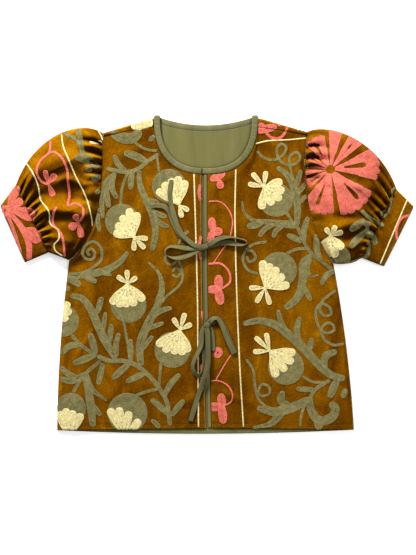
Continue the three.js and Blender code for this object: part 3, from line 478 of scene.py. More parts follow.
def front_panel(side, edge_offset):
    """A front's plan and level: u from the side to the front edge, v from the hem to the shoulder."""
    seam = side_seam(side)
    hole = armhole(side)
    direction = side["dir"]
    grow = BINDING_WIDTH + CURVED_SEAM_GAP
    seam_start = SHOULDER_SEAM_AT_TIP / hole.length
    side_share = seam.length / (seam.length + hole.length)
    shoulder_y = side["shoulder_at_neck"][1] - SHOULDER_SEAM_AT_NECK
    first_turn = turn_at_height(direction, shoulder_y, grow)
    last_turn = turn_at_x(direction, edge_x(EDGE_Y_AT_NECK) + edge_offset, grow)
    tip = hole(seam_start)
    neck_corner = front_neck(direction, first_turn, grow)
    hem_corner = np.array(side["hem"], float)

    def left(v):
        v = np.asarray(v, float)
        low = seam(clamp(v / side_share))
        high = hole(mix(1, seam_start, clamp((v - side_share) / (1 - side_share))))
        return np.where((v < side_share)[..., None], low, high)

    def top(u):
        u = np.asarray(u, float)
        seam_part = mix(tip, neck_corner, clamp(u / SHOULDER_SHARE)[..., None])
        share = clamp((u - SHOULDER_SHARE) / (1 - SHOULDER_SHARE))
        neck_part = front_neck(direction, mix(first_turn, last_turn, share), grow)
        return np.where((u < SHOULDER_SHARE)[..., None], seam_part, neck_part)

    edge_top = top(1.0)

    def edge(v):
        y = mix(hem_corner[1] + FRONT_HEM_RISE, edge_top[1], np.asarray(v, float))
        return np.stack([edge_x(y) + edge_offset, y], -1)

    edge_foot = edge(0.0)

    def hem(u):
        return mix(hem_corner, edge_foot, np.asarray(u, float)[..., None])

    def plan(u, v):
        a = u[..., None]
        b = v[..., None]
        blend = mix(left(v), edge(v), a) + mix(hem(u), top(u), b)
        corners = mix(mix(left(0.0), edge_foot, a), mix(left(1.0), edge_top, a), b)
        return blend - corners

    def level(u, v, finer=True):
        p = plan(u, v)
        x = p[..., 0]
        y = p[..., 1]
        from_side = np.linalg.norm(p - left(v), axis=-1)
        swell = waves(SWELLS, x, y)
        detail = CREASE_RELIEF * waves(CREASES, x, y) + ripple(x, y) if finer else 0
        z = FRONT_LEVEL + swell
        to_shoulder = np.linalg.norm(p - top(u), axis=-1) / SHOULDER_BLEND
        neck_fade = np.where(u < SHOULDER_SHARE, 1, 1 - smooth((u - SHOULDER_SHARE) / NECK_FADE_SHARE))
        z = mix(z, SHOULDER_HEIGHT - FRONT_THICK, (1 - smooth(to_shoulder)) * neck_fade)
        rolled = BACK_THICK + SEAM_GAP
        low = mix(rolled, z, smooth(from_side / SIDE_ROLL))
        w = mix(1, seam_start, clamp((v - side_share) / (1 - side_share)))
        ring = PUFF[0]
        seam_level = np.maximum(rolled, mix(ring["fold"], ring["height"], crown(w)) - FRONT_THICK)
        reach = mix(SIDE_ROLL, ARMHOLE_BLEND, smooth((1 - w) / UNDERARM_SHARE))
        high = mix(seam_level, z, smooth(from_side / reach))
        calm = smooth(from_side / CREASE_FROM_SEAM) * smooth(to_shoulder * 2)
        return np.where(v < side_share, low, high) + detail * calm

    return {"plan": plan, "level": level, "left": left, "top": top, "hem": hem, "edge": edge}


PANELS = {
    "right": front_panel(SIDES["right"], -EDGE_WIDTH / 2 - EDGE_PARTING),
    "left": front_panel(SIDES["left"], EDGE_WIDTH / 2 + SEAM_GAP),
}


# Meshes
def link_object(name, data):
    obj = bpy.data.objects.new(name, data)
    bpy.context.scene.collection.objects.link(obj)
    return obj


def make_object(name, points, faces, material, smooth_faces=True):
    """An object from points in millimetres of the garment's own frame."""
    metres = np.asarray(points, float) * MM
    metres[:, 1] += ROW_SHIFT_Y * MM
    mesh = bpy.data.meshes.new(name)
    mesh.from_pydata(metres.tolist(), [], faces)
    mesh.update()
    if smooth_faces:
        mesh.polygons.foreach_set("use_smooth", np.ones(len(mesh.polygons), bool))
    mesh.materials.append(material)
    return link_object(name, mesh)


def turned_out(points, faces):
    """Faces as quads whose normals point out of the closed form."""
    a, b, c, d = (points[faces[:, k]] for k in range(4))
    volume = np.einsum("ij,ij->i", a, np.cross(b, c) + np.cross(c, d)).sum()
    return faces[:, ::-1] if volume < 0 else faces


def wall(outer, inner, closed):
    """A closed wall between two grids of points of one size; closed says each row is a ring."""
    rows, columns = outer.shape[:2]
    points = np.concatenate([outer.reshape(-1, 3), inner.reshape(-1, 3)])
    index = np.arange(rows * columns).reshape(rows, columns)
    if closed:
        index = np.concatenate([index, index[:, :1]], 1)
    under = index + rows * columns
    quads = []

    def add(a, b, c, d):
        quads.append(np.stack([a.ravel(), b.ravel(), c.ravel(), d.ravel()], -1))

    add(index[:-1, :-1], index[1:, :-1], index[1:, 1:], index[:-1, 1:])
    add(under[:-1, :-1], under[:-1, 1:], under[1:, 1:], under[1:, :-1])
    add(index[0, :-1], index[0, 1:], under[0, 1:], under[0, :-1])
    add(index[-1, 1:], index[-1, :-1], under[-1, :-1], under[-1, 1:])
    if not closed:
        add(index[1:, 0], index[:-1, 0], under[:-1, 0], under[1:, 0])
        add(index[:-1, -1], index[1:, -1], under[1:, -1], under[:-1, -1])
    return points, turned_out(points, np.concatenate(quads))


def loft(sections):
    """A closed strip through sections, each a ring of the same number of points."""
    sections = np.asarray(sections, float)
    count, around = sections.shape[:2]
    index = np.arange(count * around).reshape(count, around)
    index = np.concatenate([index, index[:, :1]], 1)
    sides = [index[:-1, :-1], index[1:, :-1], index[1:, 1:], index[:-1, 1:]]
    quads = np.stack([part.ravel() for part in sides], -1)
    points = sections.reshape(-1, 3)
    turned = turned_out(points, quads)
    flipped = not np.array_equal(turned, quads)
    faces = turned.tolist()
    first = list(range(around))
    last = [(count - 1) * around + k for k in range(around)]
    faces.append(first[::-1] if flipped else first)
    faces.append(last if flipped else last[::-1])
    return points, faces


def surface_of(obj):
    """A tree to lay threads on: the object's own faces."""
    mesh = obj.data
    points = [v.co.copy() for v in mesh.vertices]
    return BVHTree.FromPolygons(points, [tuple(p.vertices) for p in mesh.polygons])


# Fronts
EDGE_RINGS = [0.35, 0.9, 1.6]
EDGE_ROUND = 1.1
STITCH_FROM_HEM = 7.5
STITCH_FROM_EDGE = 3.4
STITCH_SINK = 0.45
STITCH_WIDTH = 1.6
FRONT_ACROSS = 120
FRONT_UP = 190
FRONT_WIDTH = 275
FRONT_LENGTH = 500
HEM_PUCKER = 0.18
PUCKER_PITCH = 3.1
PUCKER_DRIFT = 11
SIDE_FALL = 0.5
TOP_FALL = 0.4
UNDER_FALL = 0.3


def steps_with_edges(count, length):
    """Steps of a grid line: even ones, with a few close ones at its two turned edges."""
    even = np.linspace(0, 1, count + 1)
    close = np.array(EDGE_RINGS) / length
    return np.unique(np.round(np.concatenate([even, close, 1 - close]), 5))


def rounded(distance):
    """How far a turned edge falls at a distance from its end."""
    inside = 1 - clamp(distance / EDGE_ROUND)
    return EDGE_ROUND * (1 - np.sqrt(np.maximum(0, 1 - inside * inside)))


def front_piece(name, material):
    """A front with turned edges, a sunk seam above its hem and small puckers under the seam."""
    panel = PANELS[name]
    u = steps_with_edges(FRONT_ACROSS, FRONT_WIDTH)
    v = steps_with_edges(FRONT_UP, FRONT_LENGTH)
    grid_v, grid_u = np.meshgrid(v, u, indexing="ij")
    p = panel["plan"](grid_u, grid_v)
    under = panel["level"](grid_u, grid_v)
    hem_y = panel["hem"](grid_u)[..., 1]
    from_hem = np.abs(p[..., 1] - hem_y)
    from_edge = np.abs(p[..., 0] - panel["edge"](grid_v)[..., 0])
    from_side = np.linalg.norm(p - panel["left"](grid_v), axis=-1)
    from_top = np.linalg.norm(p - panel["top"](grid_u), axis=-1)
    fall = rounded(from_hem) + rounded(from_edge) + SIDE_FALL * rounded(from_side)
    fall = np.minimum(fall + TOP_FALL * rounded(from_top), EDGE_ROUND)
    sink = bell((from_hem - STITCH_FROM_HEM) / STITCH_WIDTH)
    if name == "right":
        sink = np.maximum(sink, bell((from_edge - STITCH_FROM_EDGE) / STITCH_WIDTH))
    pucker = HEM_PUCKER * np.sin(p[..., 0] / PUCKER_PITCH + np.sin(p[..., 0] / PUCKER_DRIFT))
    pucker = pucker * bell((from_hem - STITCH_FROM_HEM / 2) / STITCH_FROM_HEM)
    above = under + FRONT_THICK - fall - STITCH_SINK * sink + pucker
    outer = np.concatenate([p, above[..., None]], -1)
    inner = np.concatenate([p, (under + UNDER_FALL * fall)[..., None]], -1)
    points, faces = wall(outer, inner, False)
    return make_object(f"front_{name}_velvet", points, faces.tolist(), material)


# Back and lining: flat panels. The back's shoulders fold forward to a seam on the front.
OUTLINE_STEPS = 72
BACK_NECK_STEPS = 60
SLAB_STEPS = 5
BACK_ROUND = 0.5
LINING_ROUND = 0.4
ROLL_ARCS = 13
SHOULDER_TUCK = 6
SHOULDER_FLAT_STEPS = 7
SEAM_DROP = 4.8
SEAM_DROP_FROM = 0.86
WRAP_STEPS = 40


def shoulder_fold(side, along):
    """A spot of the shoulder's fold, from the neck (0) to the tip (1)."""
    return mix(np.array(side["shoulder_at_neck"], float), np.array(side["tip"], float), along)


def body_outline(inset, fold_depth, hem_inset):
    """The outline of the back or its lining in plan, from the left side round to the right."""
    grow = BINDING_WIDTH + SEAM_GAP

    def edge_of(side):
        direction = side["dir"]
        seam = side_seam(side)(np.arange(0, 1, 1 / (OUTLINE_STEPS / 2)))
        hole = armhole(side)(1 - np.arange(0, 1, 1 / OUTLINE_STEPS))
        run = np.concatenate([seam, hole])
        run[:, 0] -= direction * inset
        tip = shoulder_fold(side, 1) - np.array([direction * inset, fold_depth])
        neck = shoulder_fold(side, 0) - np.array([0, fold_depth])
        neck[0] = NECK_X + direction * (NECK_HALF_WIDTH + grow)
        return np.concatenate([run[run[:, 1] < tip[1] - 1], [tip, neck]])

    left_edge = edge_of(SIDES["left"])
    right_edge = edge_of(SIDES["right"])
    lowest = left_edge[-1, 1] - 1
    neckline = back_neck(np.linspace(1, -1, BACK_NECK_STEPS + 1), grow)
    neckline = neckline[neckline[:, 1] < lowest]
    left_edge[0, 1] += hem_inset
    right_edge[0, 1] += hem_inset
    t = np.arange(1, OUTLINE_STEPS)[:, None] / OUTLINE_STEPS
    hem = mix(right_edge[0], left_edge[0], t)
    hem[:, 1] -= BACK_HEM_DIP * 4 * t[:, 0] * (1 - t[:, 0])
    return np.concatenate([left_edge, neckline, right_edge[::-1], hem])


def slab(outline, low, high, rounding):
    """A flat panel cut to an outline, with a rounded edge."""
    around = np.roll(outline, -1, 0) - np.roll(outline, 1, 0)
    around /= np.linalg.norm(around, axis=1, keepdims=True)
    following = np.roll(outline, -1, 0)
    area = np.sum(outline[:, 0] * following[:, 1] - outline[:, 1] * following[:, 0])
    inward = np.stack([-around[:, 1], around[:, 0]], -1) * np.sign(area)
    middle = (low + high) / 2
    rings = []
    for turn in np.linspace(-90, 90, SLAB_STEPS):
        away = rounding * (1 - math.cos(math.radians(turn)))
        z = mix(middle, high, math.sin(math.radians(turn)))
        ring = outline + inward * away
        rings.append(np.concatenate([ring, np.full((len(ring), 1), z)], 1))
    return loft(rings)


def back_piece(material):
    outline = body_outline(0, SHOULDER_HEIGHT / 2, 0)
    points, faces = slab(outline, 0, BACK_THICK, BACK_ROUND)
    return make_object("back_velvet", points, faces, material, False)


def shoulder_piece(name, material):
    """The shoulder of the back, rolled forward over the fold to the seam it shares with the front."""
    side = SIDES[name]
    radius = SHOULDER_HEIGHT / 2
    grow = BINDING_WIDTH + SEAM_GAP
    arcs = np.linspace(0, math.pi, ROLL_ARCS)
    outer = []
    inner = []
    for along in np.linspace(0, 1, WRAP_STEPS + 1):
        fold = shoulder_fold(side, along)
        seam_at = mix(SHOULDER_SEAM_AT_NECK, SHOULDER_SEAM_AT_TIP, along) - SEAM_GAP

        def place(down, z):
            y = fold[1] - down
            turn = turn_at_height(side["dir"], y, grow)
            neck_edge = front_neck(side["dir"], turn, grow)[0]
            return (neck_edge if along == 0 else fold[0], y, z)

        def rolled(r):
            return [place(radius - r * math.sin(a), radius - r * math.cos(a)) for a in arcs]

        def flat(z, drop):
            shares = np.linspace(0, 1, SHOULDER_FLAT_STEPS + 1)[1:]
            falls = [drop * max(0, t - SEAM_DROP_FROM) for t in shares]
            return [place(mix(radius, seam_at, t), z - fall) for t, fall in zip(shares, falls)]

        tuck = radius + SHOULDER_TUCK
        outer.append([place(tuck, 0), *rolled(radius), *flat(SHOULDER_HEIGHT, SEAM_DROP)])
        low = SHOULDER_HEIGHT - BACK_THICK
        inner.append([place(tuck, BACK_THICK), *rolled(radius - BACK_THICK), *flat(low, 0)])
    points, faces = wall(np.array(outer), np.array(inner), False)
    return make_object(f"shoulder_{name}_velvet", points, faces.tolist(), material)


def lining_piece(material):
    fold_depth = SHOULDER_HEIGHT / 2 + LINING_FOLD_INSET
    outline = body_outline(LINING_INSET, fold_depth, LINING_HEM_INSET)
    low = BACK_THICK + SEAM_GAP
    points, faces = slab(outline, low, low + LINING_THICK, LINING_ROUND)
    return make_object("back_lining_cotton", points, faces, material, False)


# Sleeves and cuffs: flattened tubes, ring by ring.
TANGENT_STEP = 0.002
LIP_SHARE = 0.03
CROWN_CROWDING = 0.6
UNDER_CROWDING = 0.8
SLEEVE_RELIEF = 1.45
CRUMPLE = 2.0
SLEEVE_RINGS = 96
SLEEVE_CROWN = 170
SLEEVE_UNDER = 30
CUFF_RINGS = 16
CUFF_CROWN = 60
CUFF_UNDER = 16
CUFF_EVEN_TO = 0.96
CUFF_LIP_AT = [0.975, 0.99, 0.997, 1]
CUFF_PUCKER = 0.5
CUFF_PUCKER_REACH = 0.12
CUFF_PUCKER_TURN = 52
CUFF_STITCH_AT = (0.1, 0.9)
CUFF_PRESS = 0.5
CUFF_PRESS_WIDTH = 0.03
CUFF_RIPPLE = 1.2
RIPPLE_SHIFT = 40


def from_rows(rows, s, column):
    """A column of the ring table at s, eased from row to row."""
    for a, b in zip(rows, rows[1:]):
        if s <= b["s"]:
            break
    return mix(a[column], b[column], smooth((s - a["s"]) / (b["s"] - a["s"])))


def gather(row, s, w, from_cuff):
    """One gather: a ridge between two sunk lines that rises at the seam and dies away."""
    away = 1 - s if from_cuff else s
    rise = smooth(away / GATHER_RISE + GATHER_AT_SEAM)
    along = rise * (1 - smooth((away - GATHER_RISE) / row["reach"]))
    off = (w - row["at"] - row["lean"] * (away / row["reach"])) / row["width"]
    beside = bell((off - SINK_AWAY) / SINK_WIDTH) + bell((off + SINK_AWAY) / SINK_WIDTH)
    return row["height"] * along * (bell(off) - GATHER_SINK * beside)


def long_fold(row, s, w):
    """One long fold, as high as its row says along its line."""
    ds = row["to_s"] - row["from_s"]
    dw = row["to_w"] - row["from_w"]
    t = clamp(((s - row["from_s"]) * ds + (w - row["from_w"]) * dw) / (ds * ds + dw * dw))
    off_s = s - row["from_s"] - ds * t
    off_w = w - row["from_w"] - dw * t
    return row["height"] * bell(off_w / row["width"]) * bell(off_s / LONG_FOLD_END)


def gathers(name, s, w):
    z = np.zeros_like(w)
    for row in CUFF_GATHERS[name]:
        z = z + gather(row, s, w, True)
    for row in CAP_GATHERS[name]:
        z = z + gather(row, s, w, False)
    for row in SLEEVE_FOLDS[name]:
        z = z + long_fold(row, s, w)
    return SLEEVE_RELIEF * z * smooth(hump(w) / SIDE_FADE)


def crumple(x, y):
    """Narrow ridges with flat hollows, as a crushed velvet sleeve has, at lengths that don't repeat."""
    x = x + 9 * np.sin(y / 27) + 5 * np.sin(y / 11 + x / 19)
    y = y + 8 * np.sin(x / 31)
    ridges = (1 - np.abs(np.sin(x / 33 + y / 47))) ** 2 * (0.5 + 0.5 * np.sin(y / 29 + 1))
    return ridges + (1 - np.abs(np.sin(y / 26 - x / 60 + 0.8))) ** 3 * (0.5 + 0.5 * np.sin(x / 23))


def sleeve_plan(side):
    """A sleeve's plan: s from the armhole to the cuff, w from the crown to the underarm."""
    hole = armhole(side)
    crest = bezier(side["tip"], side["crown_start"], side["crown_end"], side["cuff_seam_top"])
    under = bezier(side["underarm"], side["under_sleeve"], side["cuff_seam_foot"])
    a = np.array(side["cuff_seam_top"], float)
    b = np.array(side["cuff_seam_foot"], float)

    def plan(s, w):
        along = np.full_like(w, s)
        across = w[..., None]
        flat = mix(hole(w), mix(a, b, across), s) + mix(crest(along), under(along), across)
        start = mix(hole(0.0), hole(1.0), across)
        flat = flat - mix(start, mix(a, b, across), s)
        tangent = hole(clamp(w + TANGENT_STEP)) - hole(clamp(w - TANGENT_STEP))
        tangent /= np.linalg.norm(tangent, axis=-1, keepdims=True)
        out = np.stack([tangent[..., 1], -tangent[..., 0]], -1)
        out *= np.sign(out[..., :1] * side["dir"])
        return flat + out * CURVED_SEAM_GAP * (1 - s)

    return plan


def cuff_plan(side):
    """A cuff's plan: s from its seam to its edge, w from the crown to the underarm."""
    names = ("cuff_seam_top", "cuff_seam_foot", "cuff_edge_top", "cuff_edge_foot")
    a, b, c, d = (np.array(side[key], float) for key in names)

    def plan(s, w):
        seam = mix(a, b, w[..., None])
        edge = mix(c, d, w[..., None])
        away = edge - seam
        away /= np.linalg.norm(away, axis=-1, keepdims=True)
        return mix(seam, edge, s) + away * SEAM_GAP * (1 - s)

    return plan


def tube(plan, rows, thick, wave, along, crown_steps, under_steps, turned_end):
    """A flattened tube's wall: a crown over a flat underside, with a rounded lip if turned_end is 1."""
    def ring(s, inset):
        height = from_rows(rows, s, "height") - inset
        fold = from_rows(rows, s, "fold")
        ends = plan(s, np.array([0.0, 1.0]))
        edge = inset / np.linalg.norm(ends[1] - ends[0])
        t = np.linspace(0, 1, crown_steps + 1)
        w = mix(t, (1 - np.cos(math.pi * t)) / 2, CROWN_CROWDING)
        p = plan(s, mix(edge, 1 - edge, w))
        z = mix(fold, height, crown(w)) + wave(s, w)
        upper = np.concatenate([p, z[:, None]], 1)
        t = 1 - np.arange(1, under_steps) / under_steps
        w = mix(t, (1 - np.cos(math.pi * t)) / 2, UNDER_CROWDING)
        p = plan(s, mix(edge, 1 - edge, w))
        flat = np.minimum(1, hump(w) ** UNDER_POWER * UNDER_SPREAD)
        lower = np.concatenate([p, mix(fold, inset, flat)[:, None]], 1)
        return np.concatenate([upper, lower])

    outer = []
    inner = []
    for s in along:
        lip = turned_end * (thick / 2) * (1 - math.sqrt(1 - clamp(1 - (1 - s) / LIP_SHARE) ** 2))
        outer.append(ring(s, lip))
        inner.append(ring(s, thick - lip))
    return wall(np.array(outer), np.array(inner), True)


def sleeve_piece(name, material):
    """A puffed sleeve with its gathers, long folds and crushed velvet."""
    along = np.linspace(0, 1, SLEEVE_RINGS + 1)
    plan = sleeve_plan(SIDES[name])

    def wave(s, w):
        p = plan(s, w)
        fade = smooth(hump(w) / SIDE_FADE)
        small = ripple(p[..., 0], p[..., 1]) + CRUMPLE * crumple(p[..., 0], p[..., 1])
        return gathers(name, s, w) + small * fade

    points, faces = tube(plan, PUFF, SLEEVE_THICK, wave, along, SLEEVE_CROWN, SLEEVE_UNDER, 0)
    return make_object(f"sleeve_{name}_velvet", points, faces.tolist(), material)


def cuff_piece(name, material):
    """A wide cuff with two pressed seams and puckers where the sleeve is gathered into it."""
    along = np.concatenate([np.linspace(0, CUFF_EVEN_TO, CUFF_RINGS), CUFF_LIP_AT])
    plan = cuff_plan(SIDES[name])

    def wave(s, w):
        fade = smooth(hump(w) / SIDE_FADE)
        seam = CUFF_PUCKER * bell(s / CUFF_PUCKER_REACH) * np.sin(w * CUFF_PUCKER_TURN)
        press = sum(CUFF_PRESS * bell((s - at) / CUFF_PRESS_WIDTH) for at in CUFF_STITCH_AT)
        p = plan(s, w)
        return (seam - press + CUFF_RIPPLE * ripple(p[..., 0] + RIPPLE_SHIFT, p[..., 1])) * fade

    points, faces = tube(plan, CUFF, CUFF_THICK, wave, along, CUFF_CROWN, CUFF_UNDER, 1)
    return make_object(f"cuff_{name}_velvet", points, faces.tolist(), material)


# Bindings
BINDING_ACROSS = 9
BINDING_UNDER_AT = (1, 0.93, 0.5, 0.07, 0)
BINDING_FALL = 0.55
BINDING_ROUNDNESS = 6
BINDING_INSET = 0.2
BINDING_STITCH_AT = 0.86
BINDING_STITCH_WIDTH = 0.06
BINDING_STITCH_SINK = 0.35
BINDING_PUCKER = 0.42
PUCKERED_CORNERS = range(2, 7)
BINDING_STEPS = 84
ROLL_STEPS = 14
EDGE_TUCK = 2.6
EDGE_SUNK = 1.0
EDGE_LEAST = 0.25
EDGE_LOW = 0.55 * FRONT_THICK
EDGE_HIGH = FRONT_THICK + 0.3
EDGE_ROUNDNESS = 5
EDGE_STEPS = 140
EDGE_ACROSS = 8
EDGE_WOBBLE = 0.25
EDGE_WOBBLE_LENGTH = 37
EDGE_CREASE = 0.25
EDGE_CREASE_WIDTH = 0.3


def band_crown(t):
    return 1 - BINDING_FALL * abs(2 * t - 1) ** BINDING_ROUNDNESS


def neck_section(edge, into, normal, middle):
    """The binding's section: a soft crowned band with a sunk line of stitches near its outer edge."""
    into = np.array(into, float)
    normal = np.array(normal, float)
    base = np.array([edge[0], edge[1], middle])
    half = BINDING_THICK / 2
    top = []
    for t in np.linspace(0, 1, BINDING_ACROSS):
        sunk = BINDING_STITCH_SINK * bell((t - BINDING_STITCH_AT) / BINDING_STITCH_WIDTH)
        away = BINDING_INSET + (BINDING_WIDTH - 2 * BINDING_INSET) * t
        top.append(base + into * away + normal * (half * band_crown(t) - sunk))
    bottom = []
    for t in BINDING_UNDER_AT:
        bottom.append(base + into * BINDING_WIDTH * t - normal * half * band_crown(t))
    return top + bottom


def front_binding(name):
    """Sections of the neck binding along one front, from the front edge up to the shoulder."""
    side = SIDES[name]
    panel = PANELS[name]
    parting = EDGE_PARTING if name == "right" else 0
    end_x = edge_x(EDGE_Y_AT_NECK) - EDGE_WIDTH / 2 - parting
    shoulder_y = side["shoulder_at_neck"][1] - SHOULDER_SEAM_AT_NECK
    first_turn = turn_at_height(side["dir"], shoulder_y, BINDING_WIDTH)
    last_turn = turn_at_x(side["dir"], end_x, 0)
    sections = []
    for i in range(BINDING_STEPS + 1):
        turn = mix(last_turn, 0, (i / BINDING_STEPS) ** BINDING_CROWDING)
        edge = front_neck(side["dir"], turn, 0)
        outer = front_neck(side["dir"], turn, BINDING_WIDTH)
        if i == 0:
            outer[0] = end_x
        into = np.array([*(outer - edge), 0])
        into /= np.linalg.norm(into)
        share = clamp((turn - first_turn) / (last_turn - first_turn))
        u = np.array(mix(SHOULDER_SHARE, 1, share))
        z = float(panel["level"](u, np.array(1.0), False))
        sections.append(neck_section(edge, into, (0, 0, 1), z + FRONT_THICK / 2 + SEAM_GAP))
    return sections


def puckered(sections):
    """The folded band's small puckers, drawn in by the stitches along its outer edge."""
    for i, section in enumerate(sections):
        lift = BINDING_PUCKER * math.sin(2.3 * i + 1.7 * math.sin(0.6 * i))
        for k in PUCKERED_CORNERS:
            section[k] = section[k] + (section[k] - section[-3]) / BINDING_THICK * lift
    return sections


def neck_binding_piece(material):
    """One strip: the right front's neck, a roll over the shoulder, the back's neck and the left's."""
    at_shoulder = float(PANELS["right"]["level"](np.array(SHOULDER_SHARE), np.array(1.0), False))
    top = at_shoulder + FRONT_THICK / 2 + SEAM_GAP
    bottom = BINDING_THICK / 2
    radius = (top - bottom) / 2

    def roll(direction, angle):
        edge = front_neck(direction, 0, 0) + np.array([0, radius * math.sin(angle)])
        middle = bottom + radius + radius * math.cos(angle)
        normal = (0, math.sin(angle), math.cos(angle))
        return neck_section(edge, (direction, 0, 0), normal, middle)

    rolls = [k * math.pi / ROLL_STEPS for k in range(1, ROLL_STEPS)]
    back = []
    for across in np.linspace(-1, 1, BACK_NECK_STEPS + 1):
        edge = back_neck(across, 0)
        into = np.array([*(back_neck(across, BINDING_WIDTH) - edge), 0])
        into /= np.linalg.norm(into)
        back.append(neck_section(edge, into, (0, 0, -1), bottom))
    sections = puckered(front_binding("right"))
    sections += [roll(-1, angle) for angle in rolls]
    sections += puckered(back)
    sections += [roll(1, angle) for angle in reversed(rolls)]
    sections += puckered(front_binding("left")[::-1])
    points, faces = loft(sections)
    return make_object("neck_binding_cotton", points, faces, material)


def edge_binding_piece(material):
    """A flat folded band down the left front's edge, a little creased along its middle."""
    panel = PANELS["left"]
    half = EDGE_WIDTH / 2
    top_y = front_neck(1, 1, BINDING_WIDTH)[1] - SEAM_GAP
    sections = []
    for v in np.linspace(0, 1, EDGE_STEPS):
        one = np.array(1.0)
        y = min(panel["plan"](one, np.array(v))[1], top_y)
        x = float(edge_x(y)) + EDGE_WOBBLE * math.sin(y / EDGE_WOBBLE_LENGTH)
        z = float(panel["level"](one, np.array(v), False))
        crease = EDGE_CREASE * math.sin(y / 13 + math.sin(y / 29))
        section = []
        for t in np.linspace(0, 1, EDGE_ACROSS):
            bow = 1 - abs(2 * t - 1) ** EDGE_ROUNDNESS
            up = mix(EDGE_LOW, EDGE_HIGH, bow) + crease * bell((t - 0.5) / EDGE_CREASE_WIDTH)
            above = max(EDGE_LEAST, up - EDGE_SUNK)
            section.append((x + mix(EDGE_TUCK - half, half, t), y, z + above))
        section += [(x + half, y, z), (x, y, z), (x + EDGE_TUCK - half, y, z)]
        sections.append(section)
    points, faces = loft(sections)
    return make_object("edge_binding_cotton", points, faces, material)


# Ties
# A row is a spot of a tie's middle line. lift is its height above the velvet and tilt the strip's turn
# about its own length in degrees: 0 lies flat, 90 stands on its edge. head is the heading across a
# fold straight back.
TIE_COLUMNS = ("x", "y", "lift", "tilt", "head")
TIES = {
    "tie_upper_right": {
        "knot": {"x": -8, "y": 50, "long": 22, "wide": 10.5, "high": 5.6, "turn": 8},
        "loop": table(TIE_COLUMNS, [
            (-10, 50.5, 5.6, 6),
            (-23, 48.4, 4.6, 12),
            (-41, 48.7, 4.6, 26),
            (-58, 51.4, 5.2, 50),
            (-70.5, 51, 5.4, 66),
            (-77, 44.6, 5.4, 78),
            (-75, 36.4, 5.4, 92),
            (-65, 31, 5.2, 116),
            (-50, 30.6, 4.4, 146),
            (-35, 35.6, 3.8, 158),
            (-21, 42.4, 4.4, 168),
            (-8, 48.4, 5.2, 174),
        ]),
        "tail": table(TIE_COLUMNS, [
            (-10, 51, 7.2, 0),
            (-22, 53.5, 7.2, 0),
            (-34, 62, 5.6, 8),
            (-45.5, 73, 3.6, 6),
            (-53.5, 86, 3.1, -4),
            (-58.5, 100, 3.1, -6),
            (-62.5, 114, 3.1, 0),
            (-66.5, 131, 2.6, 24),
            (-68.4, 149, 2.8, 28),
            (-66.8, 164, 1.5, 8),
            (-64.8, 175, 1.1, 0),
        ]),
    },
    "tie_upper_left": {
        "loop": table(TIE_COLUMNS, [
            (-5.5, 51, 2.5, 0),
            (4, 55.5, 3.8, -4),
            (14.8, 62.6, 5.0, -16),
            (28, 68, 5.4, -40),
            (44.4, 69.2, 5.6, -72),
            (60.5, 66.4, 5.6, -80),
            (71, 62.6, 5.6, -86),
            (73.6, 58.6, 5.6, -94),
            (68, 55.4, 5.2, -112),
            (54, 56.2, 3.8, -148),
            (37, 58.6, 2.4, -166),
            (21, 57, 1.3, -178),
            (8, 53.4, 1.1, -180),
            (-6, 50, 1.1, -180),
        ]),
        "tail": table(TIE_COLUMNS, [
            (-2, 50.5, 1.1, 0),
            (-14, 49.6, 1.1, 0),
            (-27, 54.4, 1.1, 0),
            (-39, 63, 1.1, 0),
            (-50, 74, 1.1, 0),
            (-58.5, 88, 1.1, 0),
            (-64.5, 103, 1.1, 0),
            (-70.5, 117, 1.1, 0),
            (-79.5, 125.6, 1.3, 6),
            (-92, 127.6, 1.4, 8),
            (-103.6, 126.4, 1.1, 0),
        ]),
    },
    "tie_lower_right": {
        "knot": {"x": -0.6, "y": -94, "long": 13, "wide": 12, "high": 5.6, "turn": 60},
        "loop": table(TIE_COLUMNS, [
            (-1.5, -95, 6.4, 6),
            (-7, -102, 5.8, 6),
            (-9.8, -113, 5.2, 8),
            (-11, -128, 5.0, 16),
            (-16.5, -143, 5.0, 32),
            (-23, -156, 5.0, 42),
            (-26.4, -169, 5.0, 46),
            (-23.4, -181, 4.6, 42),
            (-15.6, -187.4, 4.2, 34),
            (-8, -183, 3.4, 26),
            (-4.2, -171, 2.6, 16),
            (-4.6, -154, 2.4, 10),
            (-6.4, -134, 2.6, 8),
            (-6.6, -115, 3.0, 6),
            (-4, -101, 4.4, 4),
            (-1.5, -95, 5.0, 4),
        ]),
        "tail": table(TIE_COLUMNS, [
            (-0.6, -95, 7.2, 0),
            (0.8, -106, 7.8, 0),
            (1.8, -130, 8.2, 4),
            (1.9, -160, 8.0, 4),
            (-0.9, -177, 8.0, 4),
            (-6, -193, 7.2, 2),
            (-11, -208, 3.6, 0),
            (-15.6, -222, 1.5, 0),
            (-24, -249, 1.1, 0),
            (-30.5, -272, 1.1, 0),
        ]),
    },
    "tie_lower_left": {
        "loop": table(TIE_COLUMNS, [
            (-1.5, -94.5, 2.5, 0),
            (4.6, -87.6, 3.6, -12),
            (11, -81.6, 5.0, -36),
            (18.5, -80.4, 5.6, -48),
            (25, -88, 5.4, -30),
            (31.5, -104, 4.8, -12),
            (40, -125, 4.2, -4),
            (47.6, -141, 3.8, 0, -64),
            (50.4, -146.6, 2.7, 0, -64),
            (48.8, -140.4, 1.4, 0, -64),
            (42, -124, 1.2, 0, -67),
            (34.5, -104, 1.2, 0, -66),
            (26.5, -90.5, 1.2, 0, -40),
            (14, -87, 1.1, 0, 8),
            (0, -92.5, 1.1, 0, 24),
        ]),
        "tail": table(TIE_COLUMNS, [
            (1, -94.5, 1.1, 0),
            (6.6, -102, 1.1, 0),
            (9.8, -114, 1.1, 0),
            (11, -128, 1.1, 0),
            (11.2, -141.5, 1.1, 0),
        ]),
    },
}
KNOT_BASE = 3.4
TIE_CLEAR = 1.2
TIE_STEPS_A_ROW = 9
TIE_ACROSS = 15
